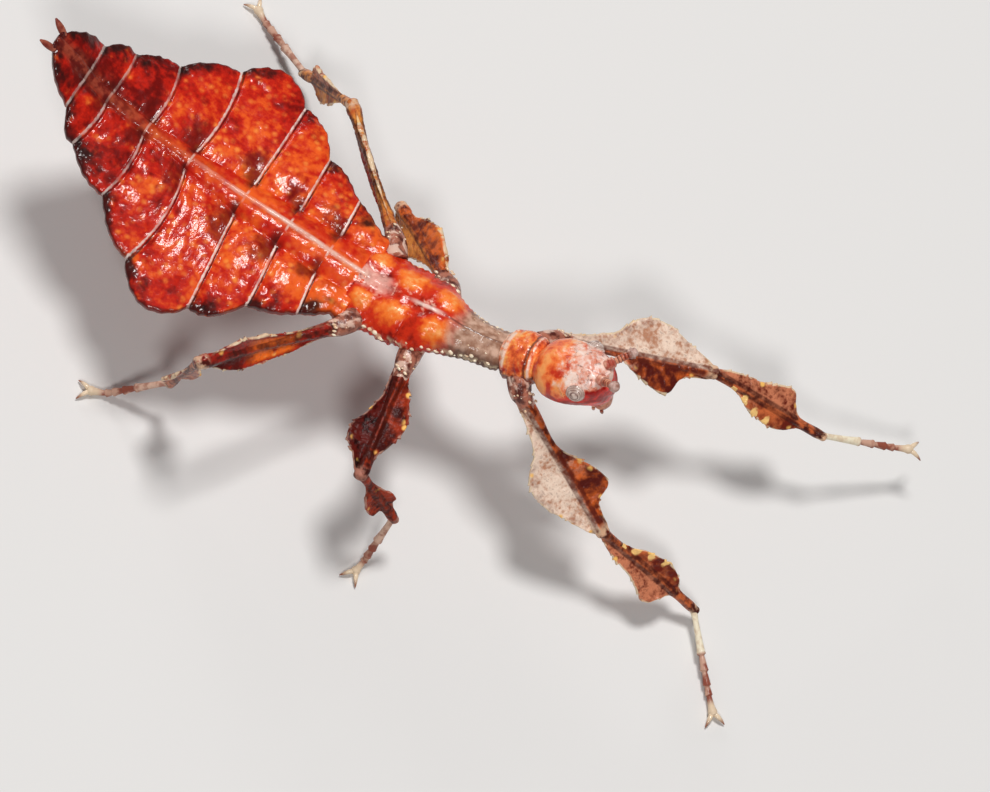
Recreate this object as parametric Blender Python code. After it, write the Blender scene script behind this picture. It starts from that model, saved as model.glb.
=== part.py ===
"""Young leaf insect, life size, as a still model that rests on five feet with its left front leg raised.

+X is towards the head, +Y is the animal's left, +Z is up, and the floor is z = 0. The origin is on the
floor under the middle of the model's box. Lengths below are in millimetres and turn into metres when a
mesh is made.
"""

import math

import bmesh
import bpy
from mathutils import Matrix, Vector

MM = 0.001

# Clearances between pieces that meet
GAP = 0.25
FINE_GAP = 0.12

# Where the body plan, which measures from the middle of the thorax, lies from the origin
PLAN_SHIFT = Vector((-1.25, -1.09, 0.0))

# Height of the back above the floor over the middle of the thorax
BACK_HEIGHT = 6.0

# Height of the back along the body, from BACK_HEIGHT: (x, height). The tip of the abdomen curls up
BACK_LINE = [(-13.4, 2.35), (-12.6, 1.75), (-11.6, 0.98), (-10.3, 0.46), (-8.6, 0.14), (-6.5, -0.10),
             (-4.3, -0.10), (-1.5, -0.25), (0.2, 0.0), (1.0, 0.24), (2.4, 0.2), (3.4, 0.34), (4.8, 1.15)]

# Abdomen: (x of a border line, half width there, widest half width of the segment behind it)
SEGMENTS = [(-1.75, 1.62, 1.95), (-2.82, 2.22, 2.68), (-4.33, 2.92, 3.8), (-5.98, 3.98, 4.74),
            (-8.05, 3.8, 3.44), (-9.72, 2.6, 2.42), (-11.2, 1.86, 1.8), (-12.1, 1.2, 1.0)]
ABDOMEN_END = (-13.35, 0.34)
LEAF_DROOP = 0.14
LEAF_EDGE = 0.5
LEAF_MIDDLE = [(-13.4, 0.5), (-11.5, 0.62), (-8.0, 0.85), (-4.0, 1.0), (-1.7, 1.3)]
LEAF_EDGE_DROP = 0.08
BORDER_RIDGE = 0.08
BORDER_RIDGE_HALF = 0.12
BORDER_STEP = 0.05
PILLOW = 0.12
MIDRIB = 0.1
MIDRIB_HALF = 0.17
GROOVE_SHARE = 0.34

# Half width of the middle band of the abdomen, with a groove at each side of it as deep as its share says
BAND_HALF = [(-13.4, 0.2), (-11.2, 0.26), (-9.72, 0.3), (-8.05, 0.38), (-5.98, 0.62), (-4.33, 0.72),
             (-2.82, 0.78), (-1.4, 0.8)]

# Sweep of the border lines to the head: (x, left margin, left middle, right margin, right middle)
LINE_SWEEP = [(-1.75, 0, 0, 0, 0), (-2.82, -0.13, 0, 0.23, 0), (-4.33, -0.15, 0, 0.28, 0.05),
              (-5.98, -0.09, 0.02, 0.43, 0.05), (-8.05, -0.36, 0.18, 0.03, 0.3),
              (-9.72, -0.35, 0.12, 0.0, 0.18), (-11.2, -0.14, 0.05, -0.15, 0.1), (-12.1, -0.12, 0, 0, 0),
              (-13.35, 0, 0, 0, 0)]

# Thorax: (x, half width, half height) and how far the middle line leans to the left towards the head
MESOTHORAX = [(0.45, 1.3, 0.72), (1.05, 1.3, 0.74), (1.7, 0.95, 0.68), (2.4, 0.74, 0.6), (3.1, 0.66, 0.56),
              (3.5, 0.7, 0.56)]
METATHORAX = [(-1.6, 1.56, 0.66), (-1.0, 1.5, 0.72), (-0.4, 1.36, 0.7), (0.0, 1.42, 0.74), (0.25, 1.4, 0.72)]
THORAX_LEAN = [(0.6, 0.0), (1.9, 0.08), (3.0, 0.2), (3.6, 0.28), (4.8, 0.36)]

# Paired domes on the back of the thorax, and the row of beads along each side of it
DOME_PLACES = [1.32, -0.12]
DOME_SIDE = 0.62
DOME_RISE = 0.1
DOME_SPREAD = 0.48
BEAD_PITCH = 0.42
BEAD_RISE = 0.07

# Prothorax: (share of its length, half width, half height)
PROTHORAX_START = 3.62
PROTHORAX_LENGTH = 1.2
PROTHORAX_PITCH = 24
PROTHORAX = [(0.0, 0.62, 0.55), (0.2, 0.84, 0.68), (0.6, 0.88, 0.74), (0.85, 0.84, 0.72), (1.0, 0.74, 0.64)]

# Head: (distance ahead of its middle, half width, top, bottom)
HEAD_MIDDLE = Vector((5.80, 0.36, BACK_HEIGHT + 1.2))
HEAD_PITCH = 30
HEAD_YAW = 8
HEAD = [(-1.16, 0.62, 0.52, 0.45), (-0.9, 0.9, 0.7, 0.6), (-0.5, 1.05, 0.8, 0.74), (0.0, 1.06, 0.8, 0.92),
        (0.4, 0.94, 0.74, 1.08), (0.75, 0.82, 0.66, 1.14), (1.05, 0.66, 0.52, 1.0), (1.2, 0.44, 0.34, 0.72)]
EYE_AHEAD = 0.46
EYE_TURN = 22
EYE_RADIUS = 0.27
ANTENNA_AHEAD = 1.1
ANTENNA_SIDE = 0.3
ANTENNA_UP = 0.42
ANTENNA = [(0.0, 0.2), (0.14, 0.23), (0.3, 0.2), (0.4, 0.17), (0.55, 0.19), (0.7, 0.18), (0.82, 0.22),
           (0.96, 0.21), (1.04, 0.1)]
ANTENNA_POSES = {"left": (55, 20), "right": (-28, 50)}
MOUTH_AHEAD = 0.6
MOUTH_LENGTH = 0.45

# Cerci at the tip of the abdomen: (distance, radius), their turn outwards and their rise
CERCUS = [(0.0, 0.18), (0.16, 0.21), (0.36, 0.18), (0.54, 0.08)]
CERCUS_SIDE = 0.34
CERCUS_TURN = 18
CERCUS_RISE = 38

# Legs, by pair: hip as (x, half distance between the hips, height), and the lengths of the segments
HIPS = {"front": (4.5, 1.0, 6.05), "middle": (1.07, 1.36, 5.2), "hind": (-1.1, 1.58, 5.25)}
LENGTHS = {"front": (5.65, 4.55, 3.5), "middle": (4.2, 3.1, 2.75), "hind": (5.4, 4.5, 3.2)}
FRONT_HIP_LEAN = 0.385

# Pose of each leg in degrees: (azimuth, elevation) of femur and tibia, azimuth of the tarsus, and the
# direction that the broad side of the lobes faces. A tarsus comes down to the floor, except a raised one
POSES = {
    "front_left": ((28, -11), (14, -23), 34, (0.03, -0.41, 0.91)),
    "front_right": ((-16, -31), (7, -32), -47, (0.03, -0.41, 0.91)),
    "middle_left": ((141, -26), (-64, -65), 154, (-0.7, -0.5, 0.5)),
    "middle_right": ((-79, -4), (16, -60), -96, (0.03, -0.41, 0.91)),
    "hind_left": ((136, -7), (142, -51), 150, (0.75, 0.65, 0.1)),
    "hind_right": ((-125, 13), (141, -76), -156, (0.55, -0.6, 0.55)),
}
RAISED_TARSUS = {"front_left": (-20, -12)}

# Lobes, by pair: (share of the segment, reach of the outer lobe, reach of the inner lobe)
FEMUR_LOBES = {
    "front": [(0.0, 0.3, 0.3), (0.22, 0.42, 0.3), (0.39, 0.66, 0.3), (0.5, 1.18, 0.42), (0.58, 1.32, 0.66),
              (0.66, 1.28, 0.9), (0.74, 1.12, 1.02), (0.78, 0.98, 0.92), (0.82, 0.84, 0.5), (0.9, 0.6, 0.38),
              (1.0, 0.3, 0.32)],
    "middle": [(0.0, 0.3, 0.3), (0.2, 0.36, 0.38), (0.38, 0.4, 0.66), (0.52, 0.55, 0.82), (0.66, 0.88, 0.68),
               (0.79, 0.86, 0.42), (0.87, 0.56, 0.34), (1.0, 0.3, 0.3)],
    "hind": [(0.0, 0.3, 0.3), (0.2, 0.34, 0.36), (0.45, 0.4, 0.5), (0.62, 0.5, 0.58), (0.74, 0.56, 0.6),
             (0.84, 0.42, 0.48), (0.92, 0.34, 0.36), (1.0, 0.3, 0.3)],
}
TIBIA_LOBES = {
    "front": [(0.0, 0.28, 0.28), (0.15, 0.42, 0.3), (0.3, 0.5, 0.38), (0.42, 0.58, 0.52), (0.57, 0.84, 0.64),
              (0.66, 0.82, 0.6), (0.71, 0.48, 0.52), (0.8, 0.3, 0.34), (1.0, 0.26, 0.26)],
    "middle": [(0.0, 0.28, 0.28), (0.25, 0.32, 0.32), (0.5, 0.52, 0.42), (0.64, 0.58, 0.48),
               (0.74, 0.36, 0.38), (1.0, 0.26, 0.26)],
    "hind": [(0.0, 0.28, 0.28), (0.25, 0.34, 0.34), (0.5, 0.5, 0.5), (0.66, 0.64, 0.6), (0.74, 0.4, 0.42),
             (1.0, 0.26, 0.26)],
}
FEMUR_RADIUS = 0.3
TIBIA_RADIUS = 0.27
LOBE_THICKNESS = 0.44
TOOTH_STEP = 0.2
TOOTH_RISE = 0.07
TOOTHED_ABOVE = 0.42
TARSUS = [(0.0, 0.25), (0.12, 0.27), (0.3, 0.25), (0.5, 0.25), (0.7, 0.25), (0.78, 0.26), (0.86, 0.28),
          (0.93, 0.3), (1.0, 0.24)]
PAD_START = 0.82
BEND_LENGTH = 0.5

# Claws: (share, radius), how long, how far they splay and how far they hook down
CLAW = [(0.0, 0.13), (0.4, 0.11), (0.75, 0.08), (1.0, 0.035)]
CLAW_LENGTH = 0.55
CLAW_SPLAY = 38
CLAW_HOOK = 0.12

# Hips, and the height of a foot's middle line over the floor
COXA_LENGTH = {"front": 0.65, "middle": 0.65, "hind": 0.65}
COXA_RADIUS = 0.4
FOOT_HEIGHT = 0.2

# Faces round a section and along a piece
SOFT_SIDES = 16
THORAX_SIDES = 20
TUBE_SIDES = 10
CLAW_SIDES = 6

COLOURS = {
    "abdomen": (0.38, 0.03, 0.012, 0.3), "thorax": (0.55, 0.13, 0.03, 0.35),
    "neck": (0.16, 0.07, 0.05, 0.45), "head": (0.50, 0.11, 0.06, 0.4), "eye": (0.30, 0.25, 0.22, 0.2),
    "femur": (0.30, 0.17, 0.12, 0.5), "tibia": (0.22, 0.06, 0.035, 0.45),
    "tarsus": (0.60, 0.42, 0.30, 0.5), "feeler": (0.30, 0.10, 0.05, 0.4),
}


def clear_scene():
    for thing in list(bpy.data.objects):
        bpy.data.objects.remove(thing, do_unlink=True)


def material(name):
    """One Principled material, made once, with the piece's plain colour and roughness."""
    found = bpy.data.materials.get(name)
    if found:
        return found
    made = bpy.data.materials.new(name)
    made.use_nodes = True
    shader = made.node_tree.nodes["Principled BSDF"]
    red, green, blue, rough = COLOURS[name]
    shader.inputs["Base Color"].default_value = (red, green, blue, 1.0)
    shader.inputs["Roughness"].default_value = rough
    shader.inputs["Metallic"].default_value = 0.0
    return made


def along(table, x):
    """Values at x on a smooth curve through a table of rows (x, value, ...)."""
    rows = sorted(table)
    x = min(max(x, rows[0][0]), rows[-1][0])
    last = max(i for i in range(len(rows) - 1) if rows[i][0] <= x) if x > rows[0][0] else 0
    low, high = rows[last], rows[last + 1]
    before = rows[max(last - 1, 0)]
    after = rows[min(last + 2, len(rows) - 1)]
    step = high[0] - low[0]
    t = (x - low[0]) / step
    values = []
    for k in range(1, len(low)):
        leave = (high[k] - before[k]) / (high[0] - before[0]) * step
        arrive = (after[k] - low[k]) / (after[0] - low[0]) * step
        values.append((2 * t**3 - 3 * t**2 + 1) * low[k] + (t**3 - 2 * t**2 + t) * leave
                      + (3 * t**2 - 2 * t**3) * high[k] + (t**3 - t**2) * arrive)
    return values[0] if len(values) == 1 else values


def direction(azimuth, elevation):
    turn, rise = math.radians(azimuth), math.radians(elevation)
    return Vector((math.cos(turn) * math.cos(rise), math.sin(turn) * math.cos(rise), math.sin(rise)))


def loft(name, rings, finish):
    """A closed body through rings. Opposite faces are split alike, so a thin leaf can't cross itself."""
    count = len(rings[0])
    mesh = bmesh.new()
    rows = [[mesh.verts.new((p + PLAN_SHIFT) * MM) for p in ring] for ring in rings]
    for near, far in zip(rows, rows[1:]):
        for k in range(count):
            m = (k + 1) % count
            if k < count // 2:
                mesh.faces.new((near[k], near[m], far[m]))
                mesh.faces.new((near[k], far[m], far[k]))
            else:
                mesh.faces.new((near[k], near[m], far[k]))
                mesh.faces.new((near[m], far[m], far[k]))
    for row, ring in ((rows[0], rings[0]), (rows[-1], rings[-1])):
        middle = mesh.verts.new((sum(ring, Vector()) / count + PLAN_SHIFT) * MM)
        for k in range(count):
            mesh.faces.new((row[k], row[(k + 1) % count], middle))
    bmesh.ops.recalc_face_normals(mesh, faces=mesh.faces[:])
    data = bpy.data.meshes.new(name)
    mesh.to_mesh(data)
    mesh.free()
    data.shade_smooth()
    data.set_sharp_from_angle(angle=math.radians(50))
    piece = bpy.data.objects.new(name, data)
    piece.data.materials.append(material(finish))
    bpy.context.collection.objects.link(piece)
    return piece


def oval(middle, side, up, half_width, top, bottom, sides):
    """A ring of points that starts at the left edge and goes over the top."""
    ring = []
    for k in range(sides):
        angle = 2 * math.pi * k / sides
        rise = top if math.sin(angle) >= 0 else bottom
        ring.append(middle + side * (half_width * math.cos(angle)) + up * (rise * math.sin(angle)))
    return ring


def back(x):
    return BACK_HEIGHT + along(BACK_LINE, x)


def abdomen_half_width(x):
    """Each segment swells between its border lines, so the margin is scalloped."""
    ends = [(row[0], row[1]) for row in SEGMENTS[1:]] + [ABDOMEN_END]
    for (start, width, widest), (stop, next_width) in zip(SEGMENTS, ends):
        if x >= stop - 1e-9:
            share = (start - x) / (start - stop)
            straight = width + (next_width - width) * share
            swell = widest - (width + next_width) / 2
            return straight + swell * math.sin(math.pi * min(max(share, 0.0), 1.0)) ** 0.8
    return ABDOMEN_END[1]


def swept(x, y, body, half):
    """Where a ring's point lies along the body once its border line is swept."""
    share = min(max((abs(y) - body) / (half - body), 0.0), 1.0)
    left, left_middle, right, right_middle = along(LINE_SWEEP, x)
    edge, middle = (left, left_middle) if y > 0 else (right, right_middle)
    return x + edge * share**1.3 + 4 * middle * share * (1 - share)


def leaf_height(x, y, body, half, ridge, pillow):
    """Top of the abdomen: a midrib, a band, a groove beside it, and a lobe with raised border lines."""
    height = back(x) - LEAF_DROOP * abs(y)
    groove = GROOVE_SHARE * body
    if abs(y) < MIDRIB_HALF:
        return height + MIDRIB * (1 - (y / MIDRIB_HALF) ** 2)
    if abs(y) <= body:
        return height + 0.4 * pillow * math.sin(math.pi * abs(y) / body) - groove * (abs(y) / body) ** 4
    share = (abs(y) - body) / (half - body)
    swell = math.sin(math.pi * min(share * 0.62 + 0.12, 1.0)) ** 0.7
    height += ridge * min(1.0, 4 * share) + pillow * swell
    return height - groove * (1 - share) ** 8 - LEAF_EDGE_DROP * share**6


def leaf_ring(x, ridge, pillow):
    """Section of the abdomen, as thick as a leaf at its margin and thicker under the middle band."""
    half = abdomen_half_width(x)
    body = min(along(BAND_HALF, x), half * 0.6)
    marks = [0.0, min(MIDRIB_HALF, body * 0.5) * 0.999, body * 0.75, body]
    marks += [body + (half - body) * f for f in (0.25, 0.65, 0.95)]
    marks = marks[::-1] + [-y for y in marks[1:]]
    middle = along(LEAF_MIDDLE, x)
    top, bottom = [], []
    for y in marks:
        share = abs(y) / half
        place = swept(x, y, body, half)
        under = back(x) - LEAF_DROOP * abs(y) - LEAF_EDGE - (middle - LEAF_EDGE) * (1 - share) ** 1.2
        top.append(Vector((place, y, leaf_height(x, y, body, half, ridge, pillow))))
        bottom.append(Vector((place, y, under + LEAF_EDGE_DROP * share**6)))
    edge = back(x) - LEAF_DROOP * half - LEAF_EDGE / 2
    left, right = [Vector((swept(x, y, body, half), y, edge)) for y in (half, -half)]
    return [left] + top + [right] + bottom[::-1]


def make_abdomen():
    starts = [row[0] for row in SEGMENTS] + [ABDOMEN_END[0]]
    rings = []
    for start, stop in zip(starts, starts[1:]):
        length = start - stop
        rings.append(leaf_ring(start, BORDER_RIDGE, 0.0))
        rings.append(leaf_ring(start - BORDER_RIDGE_HALF, -BORDER_STEP, 0.0))
        for share in (0.35, 0.62, 1 - BORDER_RIDGE_HALF / length):
            rings.append(leaf_ring(start - length * share, 0.0, PILLOW * math.sin(math.pi * share) ** 0.7))
    rings.append(leaf_ring(ABDOMEN_END[0], 0.0, 0.0))
    loft("abdomen", rings, "abdomen")


def thorax_middle(x, half_height):
    return Vector((x, along(THORAX_LEAN, x), back(x) - half_height))


def dome_rise(x, y):
    """The pair of round domes on the back of each half of the thorax."""
    rise = 0.0
    for place in DOME_PLACES:
        away = ((x - place) / DOME_SPREAD) ** 2 + ((abs(y) - DOME_SIDE) / DOME_SPREAD) ** 2
        rise += DOME_RISE * math.exp(-away)
    return rise


def thorax_ring(x, table):
    half_width, half_height = along(table, x)
    middle = thorax_middle(x, half_height)
    ring = oval(middle, Vector((0, 1, 0)), Vector((0, 0, 1)), half_width, half_height, half_height,
                THORAX_SIDES)
    bead = BEAD_RISE * math.sin(math.pi * x / BEAD_PITCH) ** 2
    for p in ring:
        local = p - middle
        p.y += math.copysign(bead * abs(local.y / half_width) ** 8, local.y)
        if local.z > 0:
            p.z += dome_rise(x, local.y)
    return ring


def make_thorax():
    for name, table, finish in (("metathorax", METATHORAX, "thorax"), ("mesothorax", MESOTHORAX, "neck")):
        first, last = table[0][0], table[-1][0]
        count = round((last - first) / BEAD_PITCH * 2) + 1
        places = [first + (last - first) * k / (count - 1) for k in range(count)]
        loft(name, [thorax_ring(x, table) for x in places], finish)


def prothorax_frame():
    ahead = direction(math.degrees(math.atan2(0.08, 1.0)), PROTHORAX_PITCH)
    side = Vector((-ahead.y, ahead.x, 0)).normalized()
    start = Vector((PROTHORAX_START, along(THORAX_LEAN, PROTHORAX_START), back(PROTHORAX_START) - 0.5))
    return start, ahead, side, ahead.cross(side)


def make_prothorax():
    start, ahead, side, up = prothorax_frame()
    rings = []
    for k in range(8):
        share = k / 7
        half_width, half_height = along(PROTHORAX, share)
        rings.append(oval(start + ahead * (PROTHORAX_LENGTH * share), side, up, half_width, half_height,
                          half_height, SOFT_SIDES))
    loft("prothorax", rings, "head")


def head_frame():
    ahead = direction(HEAD_YAW, HEAD_PITCH)
    side = Vector((-ahead.y, ahead.x, 0)).normalized()
    return HEAD_MIDDLE, ahead, side, ahead.cross(side)


def make_head():
    middle, ahead, side, up = head_frame()
    rings = []
    for k in range(13):
        place = HEAD[0][0] + (HEAD[-1][0] - HEAD[0][0]) * math.sin(math.pi / 2 * k / 12)
        half_width, top, bottom = along(HEAD, place)
        rings.append(oval(middle + ahead * place, side, up, half_width, top, bottom, SOFT_SIDES))
    loft("head", rings, "head")


def tube_ring(middle, ahead, radius, flat=1.0, sides=TUBE_SIDES):
    side = ahead.cross(Vector((0, 0, 1))).normalized()
    return oval(middle, side, side.cross(ahead), radius, radius * flat, radius * flat, sides)


def stub(name, start, ahead, table, finish, sides=TUBE_SIDES, flat=1.0):
    """A short round feeler that starts at a point and widens and narrows as its table says."""
    rings = [tube_ring(start + ahead * place, ahead, radius, flat, sides) for place, radius in table]
    return loft(name, rings, finish)


def make_head_parts():
    middle, ahead, side, up = head_frame()
    half_width, top, _ = along(HEAD, EYE_AHEAD)
    turn = math.radians(EYE_TURN)
    for name, hand in (("left", 1), ("right", -1)):
        wall = side * (hand * math.cos(turn) * half_width) + up * (math.sin(turn) * top)
        level = (side * (hand * math.cos(turn) / half_width) + up * (math.sin(turn) / top)).normalized()
        out = (level + ahead * 0.25).normalized()
        steps = [math.pi / 2 * k / 4 for k in range(5)]
        dome = [(EYE_RADIUS * 0.7 * math.sin(a), EYE_RADIUS * math.cos(a / 1.1)) for a in steps]
        stub(f"eye_{name}", middle + ahead * EYE_AHEAD + wall + level * (FINE_GAP + 0.03), out, dome, "eye")
        root = ahead * (ANTENNA_AHEAD + FINE_GAP + 0.1) + side * (hand * ANTENNA_SIDE) + up * ANTENNA_UP
        stub(f"antenna_{name}", middle + root, direction(*ANTENNA_POSES[name]), ANTENNA, "feeler")
    bottom = along(HEAD, MOUTH_AHEAD)[2]
    place = middle + ahead * MOUTH_AHEAD - up * (bottom + FINE_GAP)
    mouth = [(0.0, 0.4), (MOUTH_LENGTH * 0.5, 0.42), (MOUTH_LENGTH * 0.85, 0.3), (MOUTH_LENGTH, 0.15)]
    stub("mouthparts", place, (ahead * 0.05 - up).normalized(), mouth, "feeler", flat=0.7)


def make_cerci():
    x, half = ABDOMEN_END
    for name, hand in (("left", 1), ("right", -1)):
        out = direction(180 - hand * CERCUS_TURN, CERCUS_RISE)
        place = Vector((x - FINE_GAP - 0.08, hand * CERCUS_SIDE, back(x) - LEAF_EDGE / 2))
        stub(f"cercus_{name}", place, out, CERCUS, "feeler", sides=8)


def hip_of(leg):
    pair, hand = leg.split("_")
    x, half, height = HIPS[pair]
    lean = FRONT_HIP_LEAN if pair == "front" else 0.0
    return Vector((x, lean + (half if hand == "left" else -half), height))


def leg_points(leg):
    """Hip, knee, ankle, heel and toe of a leg, in the body plan. The pad from heel to toe lies level."""
    femur, tibia, tarsus = LENGTHS[leg.split("_")[0]]
    (femur_turn, femur_rise), (tibia_turn, tibia_rise), tarsus_turn, _ = POSES[leg]
    hip = hip_of(leg)
    knee = hip + direction(femur_turn, femur_rise) * femur
    ankle = knee + direction(tibia_turn, tibia_rise) * tibia
    if leg in RAISED_TARSUS:
        drop, level = RAISED_TARSUS[leg]
    else:
        drop, level = math.degrees(math.asin((FOOT_HEIGHT - ankle.z) / (tarsus * PAD_START))), 0
    heel = ankle + direction(tarsus_turn, drop) * (tarsus * PAD_START)
    return hip, knee, ankle, heel, heel + direction(tarsus_turn, level) * (tarsus * (1 - PAD_START))


def blade_ring(middle, side, face, outer, inner, radius):
    """Section of a leg segment: a round shaft with a thin lobe on each side."""
    half = LOBE_THICKNESS / 2
    marks = [(outer * 0.92, half), (radius * 0.8, radius * 0.6 + half * 0.4), (0, radius),
             (-radius * 0.8, radius * 0.6 + half * 0.4), (-inner * 0.92, half)]
    top = [middle + side * y + face * z for y, z in marks]
    bottom = [middle + side * y - face * z for y, z in marks]
    return [middle + side * outer] + top + [middle - side * inner] + bottom[::-1]


def mitre(ring, axis, joint, across, gap):
    """Slides a ring's points along the axis onto the plane that halves the bend, less half a gap."""
    return [p + axis * ((gap - (p - joint).dot(across)) / axis.dot(across)) for p in ring]


def make_segment(name, points, before, after, lobes, radius, face, finish, root=0.0):
    """A lobed leg segment between two joints, mitred at both to meet its neighbours face to face."""
    start, stop = points
    axis = (stop - start).normalized()
    length = (stop - start).length
    side = face.cross(axis).normalized()
    flat = axis.cross(side)
    count = round((length - root) / TOOTH_STEP)
    rings = []
    for k in range(count + 1):
        reach = root + (length - root) * k / count
        reach = min(max(reach, root + 0.3 * (k > 0)), length - 0.3 * (k < count))
        widths = along(lobes, reach / length)
        outer, inner = [w + (TOOTH_RISE if w > TOOTHED_ABOVE and k % 2 else 0.0) for w in widths]
        rings.append(blade_ring(start + axis * reach, side, flat, outer, inner, radius))
    joint = start + axis * root
    rings[0] = mitre(rings[0], axis, joint, (axis + before).normalized() if before else axis, GAP / 2)
    rings[-1] = mitre(rings[-1], axis, stop, (axis + after).normalized(), -GAP / 2)
    return loft(name, rings, finish)


def wall_share(pair):
    """A function that is above zero outside the body wall that a pair of legs grows from, gap included."""
    if pair == "front":
        start, ahead, across, rise = prothorax_frame()

        def outside(p):
            local = p - start
            half_width, half_height = along(PROTHORAX, local.dot(ahead) / PROTHORAX_LENGTH)
            y, z = local.dot(across), local.dot(rise)
            return (y / (half_width + GAP)) ** 2 + (z / (half_height + GAP)) ** 2 - 1
        return outside
    table = MESOTHORAX if pair == "middle" else METATHORAX

    def outside(p):
        half_width, half_height = along(table, p.x)
        local = p - thorax_middle(p.x, half_height)
        return (local.y / (half_width + GAP)) ** 2 + (local.z / (half_height + GAP)) ** 2 - 1
    return outside


def make_coxa(leg, hip, axis):
    """The short hip segment. Its root ring lies a gap off the body wall, and its end faces the femur."""
    pair, hand = leg.split("_")
    outward = (Vector((0, 1 if hand == "left" else -1, 0)) + axis * 0.6).normalized()
    outside = wall_share(pair)
    root = []
    for p in tube_ring(hip, outward, COXA_RADIUS):
        near, far = -COXA_LENGTH[pair] / 2, 1.5
        for _ in range(24):
            half = (near + far) / 2
            near, far = (half, far) if outside(p - outward * half) > 0 else (near, half)
        root.append(p - outward * near)
    end = tube_ring(hip + axis * (COXA_LENGTH[pair] - GAP / 2), axis, FEMUR_RADIUS)
    middle = tube_ring(hip + (axis + outward) * (COXA_LENGTH[pair] * 0.28), (axis + outward).normalized(),
                       COXA_RADIUS * 0.95)
    loft(f"coxa_{leg}", [root, middle, end], "neck")


def make_claw(name, root, ahead, hand):
    """One curved claw, rooted inside the pad and hooked down."""
    turn = Matrix.Rotation(math.radians(CLAW_SPLAY * hand), 3, "Z")
    out = turn @ ahead
    rings = []
    for share, radius in CLAW:
        place = root + out * (CLAW_LENGTH * share) - Vector((0, 0, CLAW_HOOK * share**2))
        ring = tube_ring(place, out, radius, sides=CLAW_SIDES)
        rings.append([Vector((p.x, p.y, max(p.z, 0.0))) for p in ring])
    return loft(name, rings, "tarsus")


def fuse(piece, others):
    """Joins closed pieces to one by a union, and keeps the largest closed surface."""
    group = bpy.data.collections.new(piece.name + "_parts")
    bpy.context.scene.collection.children.link(group)
    for other in others:
        group.objects.link(other)
    union = piece.modifiers.new("union", "BOOLEAN")
    union.operand_type = "COLLECTION"
    union.operation = "UNION"
    union.collection = group
    bpy.context.view_layer.update()
    joined = bpy.data.meshes.new_from_object(piece.evaluated_get(bpy.context.evaluated_depsgraph_get()))
    piece.modifiers.clear()
    piece.data = joined
    for other in others:
        bpy.data.objects.remove(other, do_unlink=True)
    bpy.data.collections.remove(group)
    keep_largest(joined)


def keep_largest(data):
    mesh = bmesh.new()
    mesh.from_mesh(data)
    left = set(mesh.verts)
    islands = []
    while left:
        island, front = set(), [left.pop()]
        while front:
            vertex = front.pop()
            island.add(vertex)
            near = {edge.other_vert(vertex) for edge in vertex.link_edges} & left
            left -= near
            front.extend(near)
        islands.append(island)
    islands.sort(key=len)
    bmesh.ops.delete(mesh, geom=[v for island in islands[:-1] for v in island], context="VERTS")
    mesh.to_mesh(data)
    mesh.free()


def make_tarsus(leg, ankle, heel, toe, before):
    """Foot: a slim tube that comes down on a small flat at the floor, with two claws."""
    down, level = (heel - ankle).normalized(), (toe - heel).normalized()
    slope = (heel - ankle).length
    rings = []
    for share, radius in TARSUS:
        reach = share * (slope + (toe - heel).length)
        past = min(max((reach - slope) / BEND_LENGTH + 0.5, 0.0), 1.0)
        ahead = down.lerp(level, past).normalized()
        place = ankle + down * min(reach, slope) + level * max(reach - slope, 0.0)
        rings.append(tube_ring(place, ahead, radius))
    rings[0] = mitre(rings[0], down, ankle, (down + before).normalized(), GAP / 2)
    for ring in rings:
        for p in ring:
            p.z = max(p.z, 0.0)
    foot = loft(f"tarsus_{leg}", rings, "tarsus")
    root = toe - level * 0.22
    fuse(foot, [make_claw(f"claw_{hand}", root, level, hand) for hand in (1, -1)])


def make_leg(leg):
    pair = leg.split("_")[0]
    hip, knee, ankle, heel, toe = leg_points(leg)
    femur, tibia, tarsus = [(b - a).normalized() for a, b in ((hip, knee), (knee, ankle), (ankle, heel))]
    face = Vector(POSES[leg][3])
    hand = 1 if leg.endswith("left") else -1
    make_coxa(leg, hip, femur)
    make_segment(f"femur_{leg}", (hip, knee), None, tibia, FEMUR_LOBES[pair], FEMUR_RADIUS, face * hand,
                 "femur", COXA_LENGTH[pair])
    make_segment(f"tibia_{leg}", (knee, ankle), femur, tarsus, TIBIA_LOBES[pair], TIBIA_RADIUS, face * hand,
                 "tibia")
    make_tarsus(leg, ankle, heel, toe, tibia)


def main():
    clear_scene()
    make_abdomen()
    make_thorax()
    make_prothorax()
    make_head()
    make_head_parts()
    make_cerci()
    for leg in POSES:
        make_leg(leg)


main()
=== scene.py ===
# %% [markdown]
# A young leaf insect, life size, dressed over its imported solids. Every skin here lies over a solid of the
# same place and size, so the first step loads those solids and keeps each where it is.

# %% The imported model
import math

import bpy
import numpy as np
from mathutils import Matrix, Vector, noise


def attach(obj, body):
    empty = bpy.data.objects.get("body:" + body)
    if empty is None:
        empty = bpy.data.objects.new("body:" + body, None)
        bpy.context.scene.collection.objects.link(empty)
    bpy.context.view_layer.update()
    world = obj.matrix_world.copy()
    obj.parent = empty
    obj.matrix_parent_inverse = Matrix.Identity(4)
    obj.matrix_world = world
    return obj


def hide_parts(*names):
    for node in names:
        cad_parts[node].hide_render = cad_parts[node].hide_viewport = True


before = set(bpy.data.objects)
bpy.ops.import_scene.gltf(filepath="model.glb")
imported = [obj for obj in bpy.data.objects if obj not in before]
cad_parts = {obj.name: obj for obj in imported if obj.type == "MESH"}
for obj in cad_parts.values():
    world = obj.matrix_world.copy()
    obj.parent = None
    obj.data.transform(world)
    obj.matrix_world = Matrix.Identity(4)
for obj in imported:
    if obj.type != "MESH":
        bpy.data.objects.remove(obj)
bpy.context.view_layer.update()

# %% [markdown]
# The body was planned in millimetres from the middle of the thorax, so the pieces are drawn in that plan
# and moved to the model's frame as they are made. The numbers are the ones that the solids were made from.

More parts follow.
